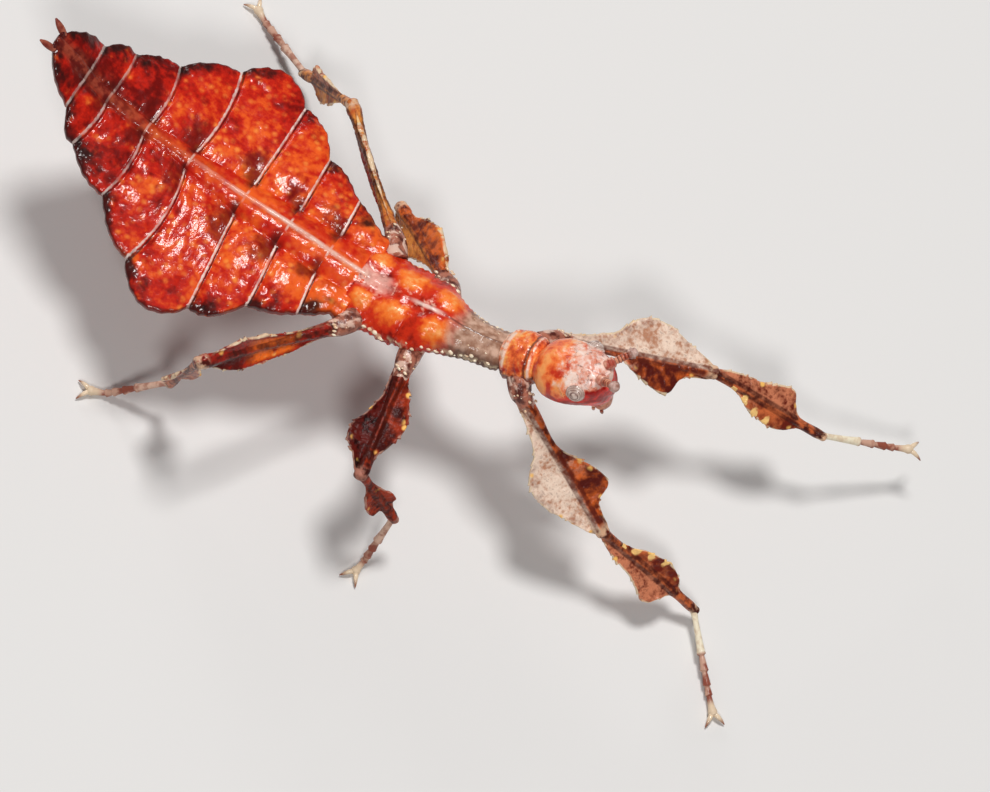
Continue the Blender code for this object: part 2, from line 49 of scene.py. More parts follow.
# %% The body plan
MM = 0.001
PLAN_SHIFT = np.array([-1.25, -1.09, 0.0])
BACK_HEIGHT = 6.0
BACK_LINE = [(-13.4, 2.35), (-12.6, 1.75), (-11.6, 0.98), (-10.3, 0.46), (-8.6, 0.14), (-6.5, -0.10),
             (-4.3, -0.10), (-1.5, -0.25), (0.2, 0.0), (1.0, 0.24), (2.4, 0.2), (3.4, 0.34), (4.8, 1.15)]


def curve(table, x):
    """Values at every x on a smooth curve through a table's rows of (x, value, ...)."""
    rows = np.array(sorted(table), float)
    x = np.clip(np.atleast_1d(np.asarray(x, float)), rows[0, 0], rows[-1, 0])
    k = np.clip(np.searchsorted(rows[:, 0], x, side="right") - 1, 0, len(rows) - 2)
    low, high = rows[k], rows[k + 1]
    before, after = rows[np.maximum(k - 1, 0)], rows[np.minimum(k + 2, len(rows) - 1)]
    step = high[:, :1] - low[:, :1]
    t = (x[:, None] - low[:, :1]) / step
    leave = (high - before) / (high[:, :1] - before[:, :1]) * step
    arrive = (after - low) / (after[:, :1] - low[:, :1]) * step
    values = ((2 * t**3 - 3 * t**2 + 1) * low + (t**3 - 2 * t**2 + t) * leave
              + (3 * t**2 - 2 * t**3) * high + (t**3 - t**2) * arrive)
    return values[:, 1] if values.shape[1] == 2 else values[:, 1:].T


def back(x):
    return BACK_HEIGHT + curve(BACK_LINE, x)


def direction(azimuth, elevation):
    turn, rise = math.radians(azimuth), math.radians(elevation)
    return np.array([math.cos(turn) * math.cos(rise), math.sin(turn) * math.cos(rise), math.sin(rise)])


def unit(vector):
    return vector / np.linalg.norm(vector)


print("height of the back at the thorax, in mm", back(0.0).round(2))

# %% [markdown]
# The camera looks down at the animal from its right side, through a long lens, as a macro camera does. A
# long lens far away keeps the feet and the back at nearly the same scale.

# %% Camera
CAMERA_PLACE = (8.737 * MM, -71.186 * MM, 160.611 * MM)
CAMERA_RIGHT = (0.8428777, 0.5028195, 0.1916502)
CAMERA_UP = (-0.5369723, 0.7628495, 0.3601685)
CAMERA_BACK = (0.0348995, -0.4064889, 0.9129890)
LENS_LENGTH = 196.2
SENSOR_WIDTH = 36
NEAREST_SEEN = 0.005

lens = bpy.data.cameras.new("camera")
lens.lens = LENS_LENGTH
lens.sensor_width = SENSOR_WIDTH
lens.clip_start = NEAREST_SEEN
camera = bpy.data.objects.new("camera", lens)
bpy.context.scene.collection.objects.link(camera)
for row in range(3):
    camera.matrix_world[row][0] = CAMERA_RIGHT[row]
    camera.matrix_world[row][1] = CAMERA_UP[row]
    camera.matrix_world[row][2] = CAMERA_BACK[row]
    camera.matrix_world[row][3] = CAMERA_PLACE[row]
bpy.context.scene.camera = camera
print("camera at", CAMERA_PLACE)

# %% [markdown]
# The floor is one pale plane. A large soft lamp overhead gives the broad white shine on wet-looking
# cuticle, and a weaker one from the side keeps the shadows open.

# %% Floor and lights
FLOOR_SIZE = 3.0
FLOOR_COLOUR = (0.78, 0.76, 0.74)
FLOOR_ROUGHNESS = 0.7
SKY_COLOUR = (0.95, 0.97, 1.0)
SKY_STRENGTH = 0.12


def plain_material(name, colour, roughness):
    made = bpy.data.materials.new(name)
    made.use_nodes = True
    shader = made.node_tree.nodes["Principled BSDF"]
    shader.inputs["Base Color"].default_value = (*colour, 1)
    shader.inputs["Roughness"].default_value = roughness
    return made


bpy.ops.object.select_all(action="DESELECT")
bpy.ops.mesh.primitive_plane_add(size=FLOOR_SIZE, location=(0, 0, 0))
floor = bpy.context.object
floor.name = "floor"
floor.data.materials.append(plain_material("pale floor", FLOOR_COLOUR, FLOOR_ROUGHNESS))


def soft_lamp(name, place, size, watts):
    lamp = bpy.data.lights.new(name, "AREA")
    lamp.shape = "DISK"
    lamp.size = size
    lamp.energy = watts
    holder = bpy.data.objects.new(name, lamp)
    bpy.context.scene.collection.objects.link(holder)
    holder.location = place
    holder.rotation_euler = (-Vector(place)).to_track_quat("-Z", "Y").to_euler()


soft_lamp("overhead", (-0.03, 0.06, 0.26), 0.06, 0.45)
soft_lamp("near camera", (0.05, -0.14, 0.22), 0.05, 0.2)
soft_lamp("rim", (-0.20, 0.16, 0.10), 0.08, 0.1)
world = bpy.data.worlds.new("soft studio")
bpy.context.scene.world = world
world.use_nodes = True
sky = world.node_tree.nodes["Background"]
sky.inputs["Color"].default_value = (*SKY_COLOUR, 1)
sky.inputs["Strength"].default_value = SKY_STRENGTH
bpy.context.scene.view_settings.view_transform = "Standard"
print("lamps", len(bpy.data.lights))

# %% [markdown]
# Cuticle is never one flat colour: it is mottled, grained and glossy as if wet. Each finish is built from
# nodes. They read two things: the place of a point on the object, for grain at its true size, and the
# numbers that a skin keeps at each point, for colour that follows its ridges, grooves and margins. The nodes
# are the same few kinds throughout, so each kind gets a short name of its own here.

# %% Finishes made of nodes
WAVES_PER_MM = 1000.0
SPECULAR_LEVEL = 0.08


class Finish:
    """A Principled material with short names for the nodes that a mottled cuticle needs."""

    def __init__(self, name, roughness, coat, coat_roughness):
        self.material = bpy.data.materials.new(name)
        self.material.use_nodes = True
        self.tree = self.material.node_tree
        self.shader = self.tree.nodes["Principled BSDF"]
        self.shader.inputs["Roughness"].default_value = roughness
        self.shader.inputs["Coat Weight"].default_value = coat
        self.shader.inputs["Coat Roughness"].default_value = coat_roughness
        self.shader.inputs["Specular IOR Level"].default_value = SPECULAR_LEVEL
        self.place = self.tree.nodes.new("ShaderNodeTexCoord").outputs["Object"]
        self.read = {}

    def link(self, value, socket):
        if isinstance(value, (int, float)):
            socket.default_value = value
        elif isinstance(value, tuple):
            socket.default_value = (*value, 1.0)
        else:
            self.tree.links.new(value, socket)

    def mark(self, name):
        """A number that the skin keeps at each point."""
        if name not in self.read:
            node = self.tree.nodes.new("ShaderNodeAttribute")
            node.attribute_name = name
            self.read[name] = node.outputs["Fac"]
        return self.read[name]

    def noise(self, per_mm, detail=3.0, warp=0.0):
        node = self.tree.nodes.new("ShaderNodeTexNoise")
        node.inputs["Scale"].default_value = per_mm * WAVES_PER_MM
        node.inputs["Detail"].default_value = detail
        node.inputs["Distortion"].default_value = warp
        self.link(self.place, node.inputs["Vector"])
        return node.outputs["Fac"]

    def cells(self, per_mm):
        node = self.tree.nodes.new("ShaderNodeTexVoronoi")
        node.inputs["Scale"].default_value = per_mm * WAVES_PER_MM
        self.link(self.place, node.inputs["Vector"])
        return node.outputs["Distance"]

    def math(self, kind, a, b=0.0, c=0.0):
        node = self.tree.nodes.new("ShaderNodeMath")
        node.operation = kind
        for value, socket in zip((a, b, c), node.inputs):
            self.link(value, socket)
        return node.outputs[0]

    def add(self, value, other, times=1.0):
        """The value with the other one, so many times over, added to it."""
        return self.math("MULTIPLY_ADD", other, times, value)

    def sway(self, value, pattern, times):
        """The value made uneven by a noise, which runs about evenly above and below a half."""
        return self.add(value, self.math("SUBTRACT", pattern, 0.5), times)

    def apart(self, pattern, level):
        """How far a noise is from a level. It is small along thin winding lines."""
        return self.math("ABSOLUTE", self.math("SUBTRACT", pattern, level))

    def ramp(self, value, low, high):
        """0 below low, 1 above high, smooth between. With low over high it falls instead."""
        node = self.tree.nodes.new("ShaderNodeMapRange")
        node.interpolation_type = "SMOOTHSTEP"
        self.link(value, node.inputs["Value"])
        falls = low > high
        node.inputs["From Min"].default_value = min(low, high)
        node.inputs["From Max"].default_value = max(low, high)
        node.inputs["To Min"].default_value = 1.0 if falls else 0.0
        node.inputs["To Max"].default_value = 0.0 if falls else 1.0
        return node.outputs["Result"]

    def both(self, *values):
        result = values[0]
        for value in values[1:]:
            result = self.math("MULTIPLY", result, value)
        return result

    def mix(self, share, under, over):
        node = self.tree.nodes.new("ShaderNodeMix")
        node.data_type = "RGBA"
        self.link(share, node.inputs["Factor"])
        self.link(under, node.inputs[6])
        self.link(over, node.inputs[7])
        return node.outputs[2]

    def bump(self, height, depth_mm, strength):
        node = self.tree.nodes.new("ShaderNodeBump")
        node.inputs["Strength"].default_value = strength
        node.inputs["Distance"].default_value = depth_mm * MM
        self.link(height, node.inputs["Height"])
        for socket in ("Normal", "Coat Normal"):
            self.tree.links.new(node.outputs["Normal"], self.shader.inputs[socket])

    def paint(self, colour, roughness=None):
        self.link(colour, self.shader.inputs["Base Color"])
        if roughness is not None:
            self.link(roughness, self.shader.inputs["Roughness"])
        return self.material


# %% [markdown]
# A few colours come back all over the body, so they are set once. They are linear values, as the Principled
# shader takes them, so a middle tone is a lower number than it would be in a picture.

# %% Colours of the whole body
CRIMSON = (0.17, 0.002, 0.001)
RED = (0.60, 0.014, 0.004)
ORANGE = (0.95, 0.14, 0.015)
YELLOW = (1.0, 0.3, 0.05)
MAROON = (0.07, 0.006, 0.005)
BLACK_BROWN = (0.012, 0.005, 0.004)
PALE_PINK = (0.85, 0.62, 0.52)
CREAM = (0.82, 0.64, 0.42)
DARK = (0.06, 0.008, 0.005)
print("crimson", CRIMSON, "cream", CREAM)

# %% [markdown]
# Nearly every part of an insect is a closed tube: a row of rings that swell and shrink, with rounded ends.
# Extruding each by hand would take hundreds of steps, so a sphere is added and its rings are drawn out
# along the part. A sphere has no seam and its poles are closed, so the skin is whole from the start.
# Each point also keeps a few numbers, such as how far it is from a margin, for the materials to read.

# %% Drawing a sphere out into a skin
CAP_RINGS = 7


def drawn_skin(name, around, rings, place, bulge):
    """Draws a sphere's rings out. place(along, turn) gives ring centres, offsets, directions and marks."""
    bpy.ops.object.select_all(action="DESELECT")
    bpy.ops.mesh.primitive_uv_sphere_add(segments=around, ring_count=rings, radius=1.0, location=(0, 0, 0))
    piece = bpy.context.object
    piece.name = piece.data.name = name
    mesh = piece.data
    co = np.empty(len(mesh.vertices) * 3)
    mesh.vertices.foreach_get("co", co)
    x, y, z = co.reshape(-1, 3).T
    share = np.arccos(np.clip(z, -1, 1)) / np.pi
    turn = np.arctan2(y, x) / (2 * np.pi) % 1.0
    cap = CAP_RINGS / rings
    along = np.clip((share - cap) / (1 - 2 * cap), 0, 1)
    rise = np.pi / 2 * np.minimum(np.minimum(share, 1 - share) / cap, 1.0)
    centres, offsets, ahead, marks = place(along, turn)
    past = np.where(share < 0.5, -np.cos(rise), np.cos(rise)) * bulge
    points = centres + offsets * np.sin(rise)[:, None] + ahead * past[:, None]
    mesh.vertices.foreach_set("co", ((points + PLAN_SHIFT) * MM).ravel())
    for mark, values in marks.items():
        layer = mesh.attributes.new(name=mark, type="FLOAT", domain="POINT")
        layer.data.foreach_set("value", np.broadcast_to(values, share.shape).astype(np.float32))
    finish_mesh(piece)
    return piece


def finish_mesh(piece):
    """Faces outwards, smooth shading."""
    bpy.ops.object.select_all(action="DESELECT")
    piece.select_set(True)
    bpy.context.view_layer.objects.active = piece
    bpy.ops.object.mode_set(mode="EDIT")
    bpy.ops.mesh.select_all(action="SELECT")
    bpy.ops.mesh.normals_make_consistent(inside=False)
    bpy.ops.object.mode_set(mode="OBJECT")
    bpy.ops.object.shade_smooth()


# %% [markdown]
# Real cuticle is never quite even, so the skins' heights are swayed by a smooth noise of a fixed seed. Each
# finished skin then takes the place of its solid and rides on the only body there is.

# %% Roughness and mounting
def rough(points, scale, octaves=3):
    """Smooth seeded noise at every point, from about -1 to 1. scale is in waves per millimetre."""
    return np.array([noise.fractal(Vector(p) * scale, 0.6, 2.0, octaves) for p in points.tolist()])


def mount(piece, slot, *nodes):
    """Puts a piece on the body, in the place of its solids, which it hides. The slot is not used."""
    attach(piece, "root")
    if nodes:
        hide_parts(*nodes)


# %% [markdown]
# The abdomen is the leaf. It is thin and wide, scalloped at each segment, and its tip curls up. On top run
# a raised midrib, a smooth middle band, a wrinkled groove on each side of it, and pale raised lines where
# one segment ends and the next begins. Its outline comes first: for each segment, where it starts, and half
# its width there and at its widest.

# %% Outline of the abdomen
SEGMENTS = [(-1.75, 1.62, 1.95), (-2.82, 2.22, 2.68), (-4.33, 2.92, 3.8), (-5.98, 3.98, 4.74),
            (-8.05, 3.8, 3.44), (-9.72, 2.6, 2.42), (-11.2, 1.86, 1.8), (-12.1, 1.2, 1.0)]
ABDOMEN_START = -1.4
ABDOMEN_END = (-13.35, 0.34)
LEAF_DROOP = 0.14
LEAF_MARGIN = 0.24
LEAF_MIDDLE = [(-13.4, 0.5), (-11.5, 0.62), (-8.0, 0.85), (-4.0, 1.0), (-1.7, 1.3)]
BODY_HALF = 0.72
BAND_HALF = [(-13.4, 0.16), (-12.1, 0.2), (-11.2, 0.24), (-9.72, 0.28), (-8.05, 0.36), (-5.98, 0.62),
             (-4.33, 0.72), (-2.82, 0.78), (-1.4, 0.8)]
GROOVE_DEPTH = 0.26
# The share of the skin's points that lie on the middle band, which has the finest forms
BAND_SHARE = 0.3

# How far each border line is swept forwards at the margin and between, on the left side and on the right
LINE_SWEEP = [(-1.75, 0, 0, 0, 0), (-2.82, -0.13, 0, 0.23, 0), (-4.33, -0.15, 0, 0.28, 0.05),
              (-5.98, -0.09, 0.02, 0.43, 0.05), (-8.05, -0.36, 0.18, 0.03, 0.3),
              (-9.72, -0.35, 0.12, 0.0, 0.18), (-11.2, -0.14, 0.05, -0.15, 0.1), (-12.1, -0.12, 0, 0, 0),
              (-13.35, 0, 0, 0, 0)]


def segment_of(x):
    """For every x: where its segment starts, the segment's length, and its number."""
    starts = np.array([row[0] for row in SEGMENTS] + [ABDOMEN_END[0]])
    k = np.clip(np.searchsorted(-starts, -x, side="right") - 1, 0, len(SEGMENTS) - 1)
    return starts[k], starts[k] - starts[k + 1], k


def abdomen_half_width(x):
    rows = np.array(SEGMENTS + [(*ABDOMEN_END, 0.0)])
    start, length, k = segment_of(x)
    share = np.clip((start - x) / length, 0, 1)
    width, next_width, widest = rows[k, 1], rows[k + 1, 1], rows[k, 2]
    scallop = (widest - (width + next_width) / 2) * np.sin(np.pi * share) ** 0.8
    return width + (next_width - width) * share + scallop


print("widest at the fourth segment, in mm", round(2 * float(abdomen_half_width(-7.0)), 2))

# %% [markdown]
# Each plate between two lines swells like a small cushion, with creases beside the band and at its corners.
# It could be sculpted by hand, but a formula for its height keeps every plate alike and its size true.

# %% Surface of the abdomen
def bump_at(value, middle, half):
    """A smooth bump, 1 at the middle and 0 from half away."""
    return np.clip(1 - ((value - middle) / half) ** 2, 0, None) ** 2


def swell(value, middle, spread):
    """A softer bump, 1 at the middle, that fades out on both sides without an end."""
    return np.exp(-((value - middle) / spread) ** 2)


def abdomen_place(along, turn):
    x = ABDOMEN_START + (ABDOMEN_END[0] - ABDOMEN_START) * along
    half = abdomen_half_width(x)
    body = curve(BAND_HALF, x)
    top = turn < 0.5
    s = np.where(top, 1 - 4 * turn, 4 * turn - 3)
    out, side = np.abs(s), np.sign(s)
    outer_share = np.clip((out - BAND_SHARE) / (1 - BAND_SHARE), 0, 1)
    outer = body + (half - body) * np.sin(np.pi / 2 * outer_share) ** 0.9
    width = np.where(out < BAND_SHARE, body * out / BAND_SHARE, outer)
    start, length, k = segment_of(x)
    behind, before = start - x, length - (start - x)
    share = np.clip(behind / length, 0, 1)
    near = np.minimum(np.abs(behind), before)
    lobe = np.clip((width - body) / (half - body), 0, 1)
    plan = np.stack([x, side * width, k * 0.15], 1)
    wrinkle, fine, grain = rough(plan, 0.9), rough(plan, 2.0), rough(plan, 4.0, 1)

    # The middle band: a low ridge of domes, each with a step at the line ahead of it, and a midrib on top
    settled = np.clip((-1.7 - x) / 1.4, 0, 1)
    deep = GROOVE_DEPTH * (body / BODY_HALF) * (0.45 + 0.55 * np.exp(-near / 0.4)) * settled
    dome = np.clip(share / 0.1, 0, 1) ** 0.5 * (1 - 0.5 * share)
    in_band = np.clip(width / body, 0, 1)
    band = 0.045 * dome * np.sin(np.pi * in_band**1.2) - deep * in_band**2.5
    midrib = 0.05 * bump_at(width, 0.0, 0.14) - 0.01 * bump_at(width, 0.22, 0.1)
    band += midrib * np.clip((x + 11) / 3, 0.3, 1)
    band += (0.03 * fine + 0.012 * grain) * in_band
    # The plates: shallow cushions between raised threads, wrinkled beside the band and at their corners
    cushion = np.sin(np.pi * share) ** 0.8 * np.sin(np.pi * np.clip(lobe * 0.8 + 0.08, 0, 1)) ** 0.7
    plates = 0.1 * cushion - deep * np.exp(-lobe / 0.12) - 0.08 * lobe**6
    slope = 0.06 * np.exp(-share / 0.3) * np.sin(np.pi * lobe)
    plates += (0.05 * swell(near, 0, 0.04) - 0.04 * swell(before, 0.1, 0.05)) * settled + slope
    pit = swell(width - body, 0.06, 0.22 + 0.14 * fine) * swell(near, 0, 0.24 + 0.14 * wrinkle) * settled
    crease = swell(lobe, 0.12, 0.12) * bump_at(behind, 0.35, 0.5)
    crease += swell(lobe, 0.9, 0.12) * bump_at(before, 0.35, 0.5)
    crease += 0.6 * swell(before, 0.25, 0.2) * swell(lobe, 0.5, 0.4)
    plates += 0.045 * wrinkle + 0.012 * fine + 0.002 * grain + crease * (0.045 * fine + 0.02 * grain)
    height = back(x) - LEAF_DROOP * width + np.where(width < body, band, plates) - 0.03 * pit

    middle = curve(LEAF_MIDDLE, x)
    under = back(x) - LEAF_DROOP * width - LEAF_MARGIN - (middle - LEAF_MARGIN) * (1 - lobe) ** 1.5
    under += 0.02 * wrinkle - 0.08 * lobe**6
    centre_z = (height + under) / 2
    rounded = np.sqrt(np.clip(1 - out**16, 0, 1))
    z = centre_z + np.where(top, height - centre_z, under - centre_z) * rounded
    teeth = np.clip(lobe - 0.8, 0, 1) / 0.2 * (0.04 * fine + 0.015 * np.sin(x * 19))
    left_edge, left_middle, right_edge, right_middle = curve(LINE_SWEEP, x)
    edge_sweep = np.where(side > 0, left_edge, right_edge)
    mid_sweep = np.where(side > 0, left_middle, right_middle)
    swept = x + edge_sweep * lobe**1.3 + 4 * mid_sweep * lobe * (1 - lobe)
    centres = np.stack([x, np.zeros_like(x), back(x) - 0.4 * middle], 1)
    points = np.stack([swept, side * (width + teeth), z], 1)
    ahead = np.tile(np.array([-1.0, 0.0, 0.0]), (len(x), 1))
    without_lines = (x > SEGMENTS[1][0] + 0.5) | (x < SEGMENTS[-1][0] - 0.5)
    marks = {"width": width, "lobe": lobe, "behind": behind, "before": before, "in_band": width / body,
             "near": np.where(without_lines, 1.0, near), "line_ahead": before < behind,
             "margin": half - width, "top": np.where(top, 1.0, 0.0), "plan_x": x, "pit": pit,
             "settled": settled}
    return centres, points - centres, ahead, marks


# %% [markdown]
# The leaf's colour is crimson under orange mottling, with soft orange granules a little over a tenth of a
# millimetre wide. It is darkest at the rear corners of the plates, and painted shade darkens the pits beside
# the middle band, the deep front end of the groove beside it and the foot of each dome's step. Each border
# line is pale, with a thin broken dark line of painted shade in the groove ahead of it. It could be painted
# as an image, but nodes that read the skin's own numbers stay sharp at any distance.

# %% Finish of the abdomen
GROOVE_SHADE_RED = (0.12, 0.005, 0.003)
PIT_SHADE_RED = (0.07, 0.004, 0.003)
BORDER_PINK = (0.95, 0.76, 0.68)
HALO_ORANGE = (0.92, 0.36, 0.2)
DULL_TAIL = ((0.13, 0.012, 0.008), (0.32, 0.06, 0.03))
DULL_UNDER = ((0.2, 0.02, 0.01), (0.42, 0.06, 0.02))


def leaf_finish():
    f = Finish("glossy crimson leaf cuticle", 0.4, coat=0.5, coat_roughness=0.14)
    patches, grain, fine = f.noise(0.9, 4.0, 0.6), f.noise(3.6, 4.0), f.noise(8.0, 2.0)
    tailward = f.ramp(f.mark("plan_x"), -5.0, -12.0)
    inward = f.ramp(f.mark("margin"), 0.0, 1.6)
    glow = f.sway(f.math("SUBTRACT", patches, 0.5), grain, 0.6)
    glow = f.sway(glow, fine, 0.3)
    glow = f.add(glow, tailward, -0.2)
    glow = f.add(glow, inward, 0.1)
    glow = f.add(glow, f.math("SUBTRACT", 1.0, f.mark("settled")), 0.22)
    colour = f.mix(f.ramp(glow, -0.34, 0.06), CRIMSON, RED)
    colour = f.mix(f.both(f.ramp(glow, -0.04, 0.3), 0.85), colour, ORANGE)
    granules = f.both(f.ramp(f.add(f.cells(3.0), fine, 0.3), 0.58, 0.2), f.ramp(glow, -0.2, 0.2))
    colour = f.mix(f.both(granules, 0.75), colour, YELLOW)
    # Painted shade at the inner front corner of each plate, where the groove beside the band is deepest, and
    # a darker blotch at its outer rear corner
    ragged = f.math("MULTIPLY", f.math("SUBTRACT", f.noise(1.8, 5.0), 0.5), 1.6)
    inner = f.both(f.ramp(f.add(f.mark("lobe"), ragged, 0.35), 0.42, 0.16),
                   f.ramp(f.add(f.mark("behind"), ragged), 0.95, 0.3),
                   f.ramp(f.mark("in_band"), 0.9, 1.15))
    colour = f.mix(f.both(inner, f.mark("settled"), 0.75), colour, GROOVE_SHADE_RED)
    corner = f.both(f.ramp(f.add(f.mark("margin"), ragged), 0.7, 0.1),
                    f.ramp(f.add(f.mark("before"), ragged), 1.2, 0.3))
    colour = f.mix(f.both(corner, 0.92), colour, BLACK_BROWN)
    rim_line = f.add(f.mark("margin"), ragged, 0.12)
    colour = f.mix(f.both(f.ramp(rim_line, 0.12, 0.02), 0.75), colour, MAROON)
    # The middle band: smooth, orange near the midrib and red outwards, with painted shade where each dome
    # starts below the step of the one ahead
    edge_of_band = f.add(f.mark("in_band"), ragged, 0.3)
    band = f.ramp(edge_of_band, 1.25, 0.85)
    flow = f.add(f.noise(1.3, 3.0, 0.6), f.mark("in_band"), -0.2)
    flow = f.sway(flow, grain, 0.3)
    smooth_band = f.mix(0.55, colour, f.mix(f.ramp(flow, 0.26, 0.6), RED, ORANGE))
    dull_tail = f.mix(f.ramp(grain, 0.4, 0.6), *DULL_TAIL)
    streak = f.both(f.ramp(f.add(f.mark("width"), ragged, 0.1), 0.42, 0.08),
                    f.ramp(f.mark("plan_x"), -7.5, -11.5))
    # Painted shade at the foot of each step, where a dome starts below the end of the one ahead
    step = f.both(f.ramp(f.add(f.mark("behind"), ragged, 0.25), 0.4, 0.05),
                  f.ramp(f.mark("in_band"), 0.25, 0.75))
    smooth_band = f.mix(f.both(step, f.mark("settled"), 0.85), smooth_band, MAROON)
    colour = f.mix(f.both(band, f.ramp(f.mark("plan_x"), -12.0, -9.0)), colour, smooth_band)
    colour = f.mix(f.both(streak, 0.85), colour, dull_tail)
    # Painted shade in the sunken pits beside the middle band
    pit = f.ramp(f.add(f.mark("pit"), ragged, 0.5), 0.2, 0.9)
    colour = f.mix(f.both(pit, 0.7), colour, PIT_SHADE_RED)
    # Border lines: a thin pale thread, and a thinner dark line ahead of it that is painted shade in the
    # groove there, both broken in places
    outside = f.ramp(f.mark("in_band"), 0.98, 1.1)
    worn = f.add(0.25, f.ramp(f.noise(2.2, 3.0), 0.3, 0.6), 0.75)
    line_shade = f.ramp(f.apart(f.mark("near"), 0.075), 0.036, 0.012)
    faded = f.math("SUBTRACT", 1.0, f.both(tailward, 0.45))
    colour = f.mix(f.both(line_shade, f.mark("line_ahead"), outside, worn, faded, 0.9), colour, BLACK_BROWN)
    beaded = f.ramp(f.sway(f.mark("near"), fine, 0.06), 0.044, 0.016)
    colour = f.mix(f.both(beaded, outside, worn, faded), colour, BORDER_PINK)
    # The midrib: one pale line, brightest towards the thorax, with short crossbars at the borders
    rough_width = f.sway(f.mark("width"), grain, 0.12)
    thread = f.both(f.ramp(rough_width, 0.115, 0.035), f.ramp(f.mark("plan_x"), -9.0, -4.5), worn)
    halo = f.both(f.ramp(f.mark("width"), 0.2, 0.06), f.ramp(f.mark("plan_x"), -7.0, -2.5),
                  f.ramp(grain, 0.4, 0.6))
    cross = f.both(f.ramp(f.mark("near"), 0.05, 0.02), f.ramp(rough_width, 0.3, 0.14), faded, worn)
    colour = f.mix(f.both(halo, 0.5), colour, HALO_ORANGE)
    colour = f.mix(f.both(f.math("MAXIMUM", thread, cross), 0.75), colour, PALE_PINK)
    dull_under = f.mix(f.ramp(patches, 0.4, 0.6), *DULL_UNDER)
    colour = f.mix(f.ramp(f.mark("top"), 0.4, 0.6), dull_under, colour)
    f.bump(f.add(fine, grain, 1.2), 0.016, 0.8)
    return f.paint(colour, f.add(0.3, grain, 0.3))


# %% [markdown]
# The leaf is now drawn out of one sphere with many rings, so that its finest threads have points of their
# own. It takes the place of the abdomen's solid.

# %% Abdomen skin
abdomen = drawn_skin("abdomen_skin", 240, 300, abdomen_place, bulge=0.1)
abdomen.data.materials.append(leaf_finish())
mount(abdomen, "abdomen", "abdomen")
print("abdomen faces", len(abdomen.data.polygons))

# %% [markdown]
# The thorax is two short drums, the front one drawn out to a neck, low and rounded. Clear orange domes stand
# in pairs on top of it, and the middle line is raised. One skin covers each solid and tucks under the next.

# %% Thorax
MESOTHORAX = [(0.45, 1.3, 0.72), (1.05, 1.3, 0.74), (1.7, 0.95, 0.68), (2.4, 0.74, 0.6), (3.1, 0.66, 0.56),
              (3.5, 0.7, 0.56)]
METATHORAX = [(-1.6, 1.56, 0.66), (-1.0, 1.5, 0.72), (-0.4, 1.36, 0.7), (0.0, 1.42, 0.74), (0.25, 1.4, 0.72)]
THORAX_LEAN = [(0.6, 0.0), (1.9, 0.08), (3.0, 0.2), (3.6, 0.28), (4.8, 0.36)]
DOMES = [(1.32, 0.58, 0.8), (-0.12, 0.64, 0.85), (-1.25, 0.75, 0.6)]


def thorax_place(table, first, last):
    def place(along, turn):
        x = first + (last - first) * along
        half_width, half_height = curve(table, x)
        angle = 2 * np.pi * turn
        y, z = half_width * np.cos(angle), half_height * np.sin(angle)
        top = np.clip(z / half_height, 0, 1)
        dome = np.zeros_like(x)
        for place_x, side, spread in DOMES:
            dome += bump_at(np.hypot((x - place_x) / spread, (np.abs(y) - side) / (spread * 0.8)), 0, 1)
        points = np.stack([x, y, z], 1)
        edge = np.abs(y / half_width) ** 8
        lift = 1 + 0.03 * rough(points, 1.2) + 0.02 * rough(points, 2.6)
        spindle = bump_at(np.abs(y), 0, 0.17)
        z = z * lift + top * (0.12 * dome + 0.04 * spindle - 0.03 * bump_at(np.abs(y), 0.27, 0.2))
        y = y * lift + np.sign(y) * edge * 0.05 * np.sin(np.pi * x / 0.21) ** 2
        middle = np.stack([x, curve(THORAX_LEAN, x), back(x) - half_height], 1)
        offsets = np.stack([np.zeros_like(x), y, z], 1)
        ahead = np.tile(np.array([1.0, 0.0, 0.0]), (len(x), 1))
        marks = {"dome": dome * (top > 0), "edge": edge, "spindle": spindle * top, "top": top, "plan_x": x,
                 "middle": bump_at(np.abs(y), 0, 0.6) * top}
        return middle, offsets, ahead, marks
    return place


# %% [markdown]
# The thorax looks like a drop of resin: orange where it swells and deep red between, with pale pink marbling
# along the middle. Its neck is dull and dry instead, pinkish brown on top and dark at the sides.

# %% Finish of the thorax
THORAX_RED = ((0.2, 0.005, 0.003), (0.66, 0.03, 0.008))
DOME_ORANGE = (0.95, 0.19, 0.025)
DOME_YELLOW = (1.0, 0.48, 0.15)
MARBLE_PINK = (0.95, 0.56, 0.42)
HIND_PINK = (0.95, 0.56, 0.46)
SPINDLE_PINK = (0.95, 0.72, 0.62)
NECK_TOP = ((0.32, 0.15, 0.09), (0.66, 0.42, 0.31))
NECK_SIDE = (0.09, 0.028, 0.018)


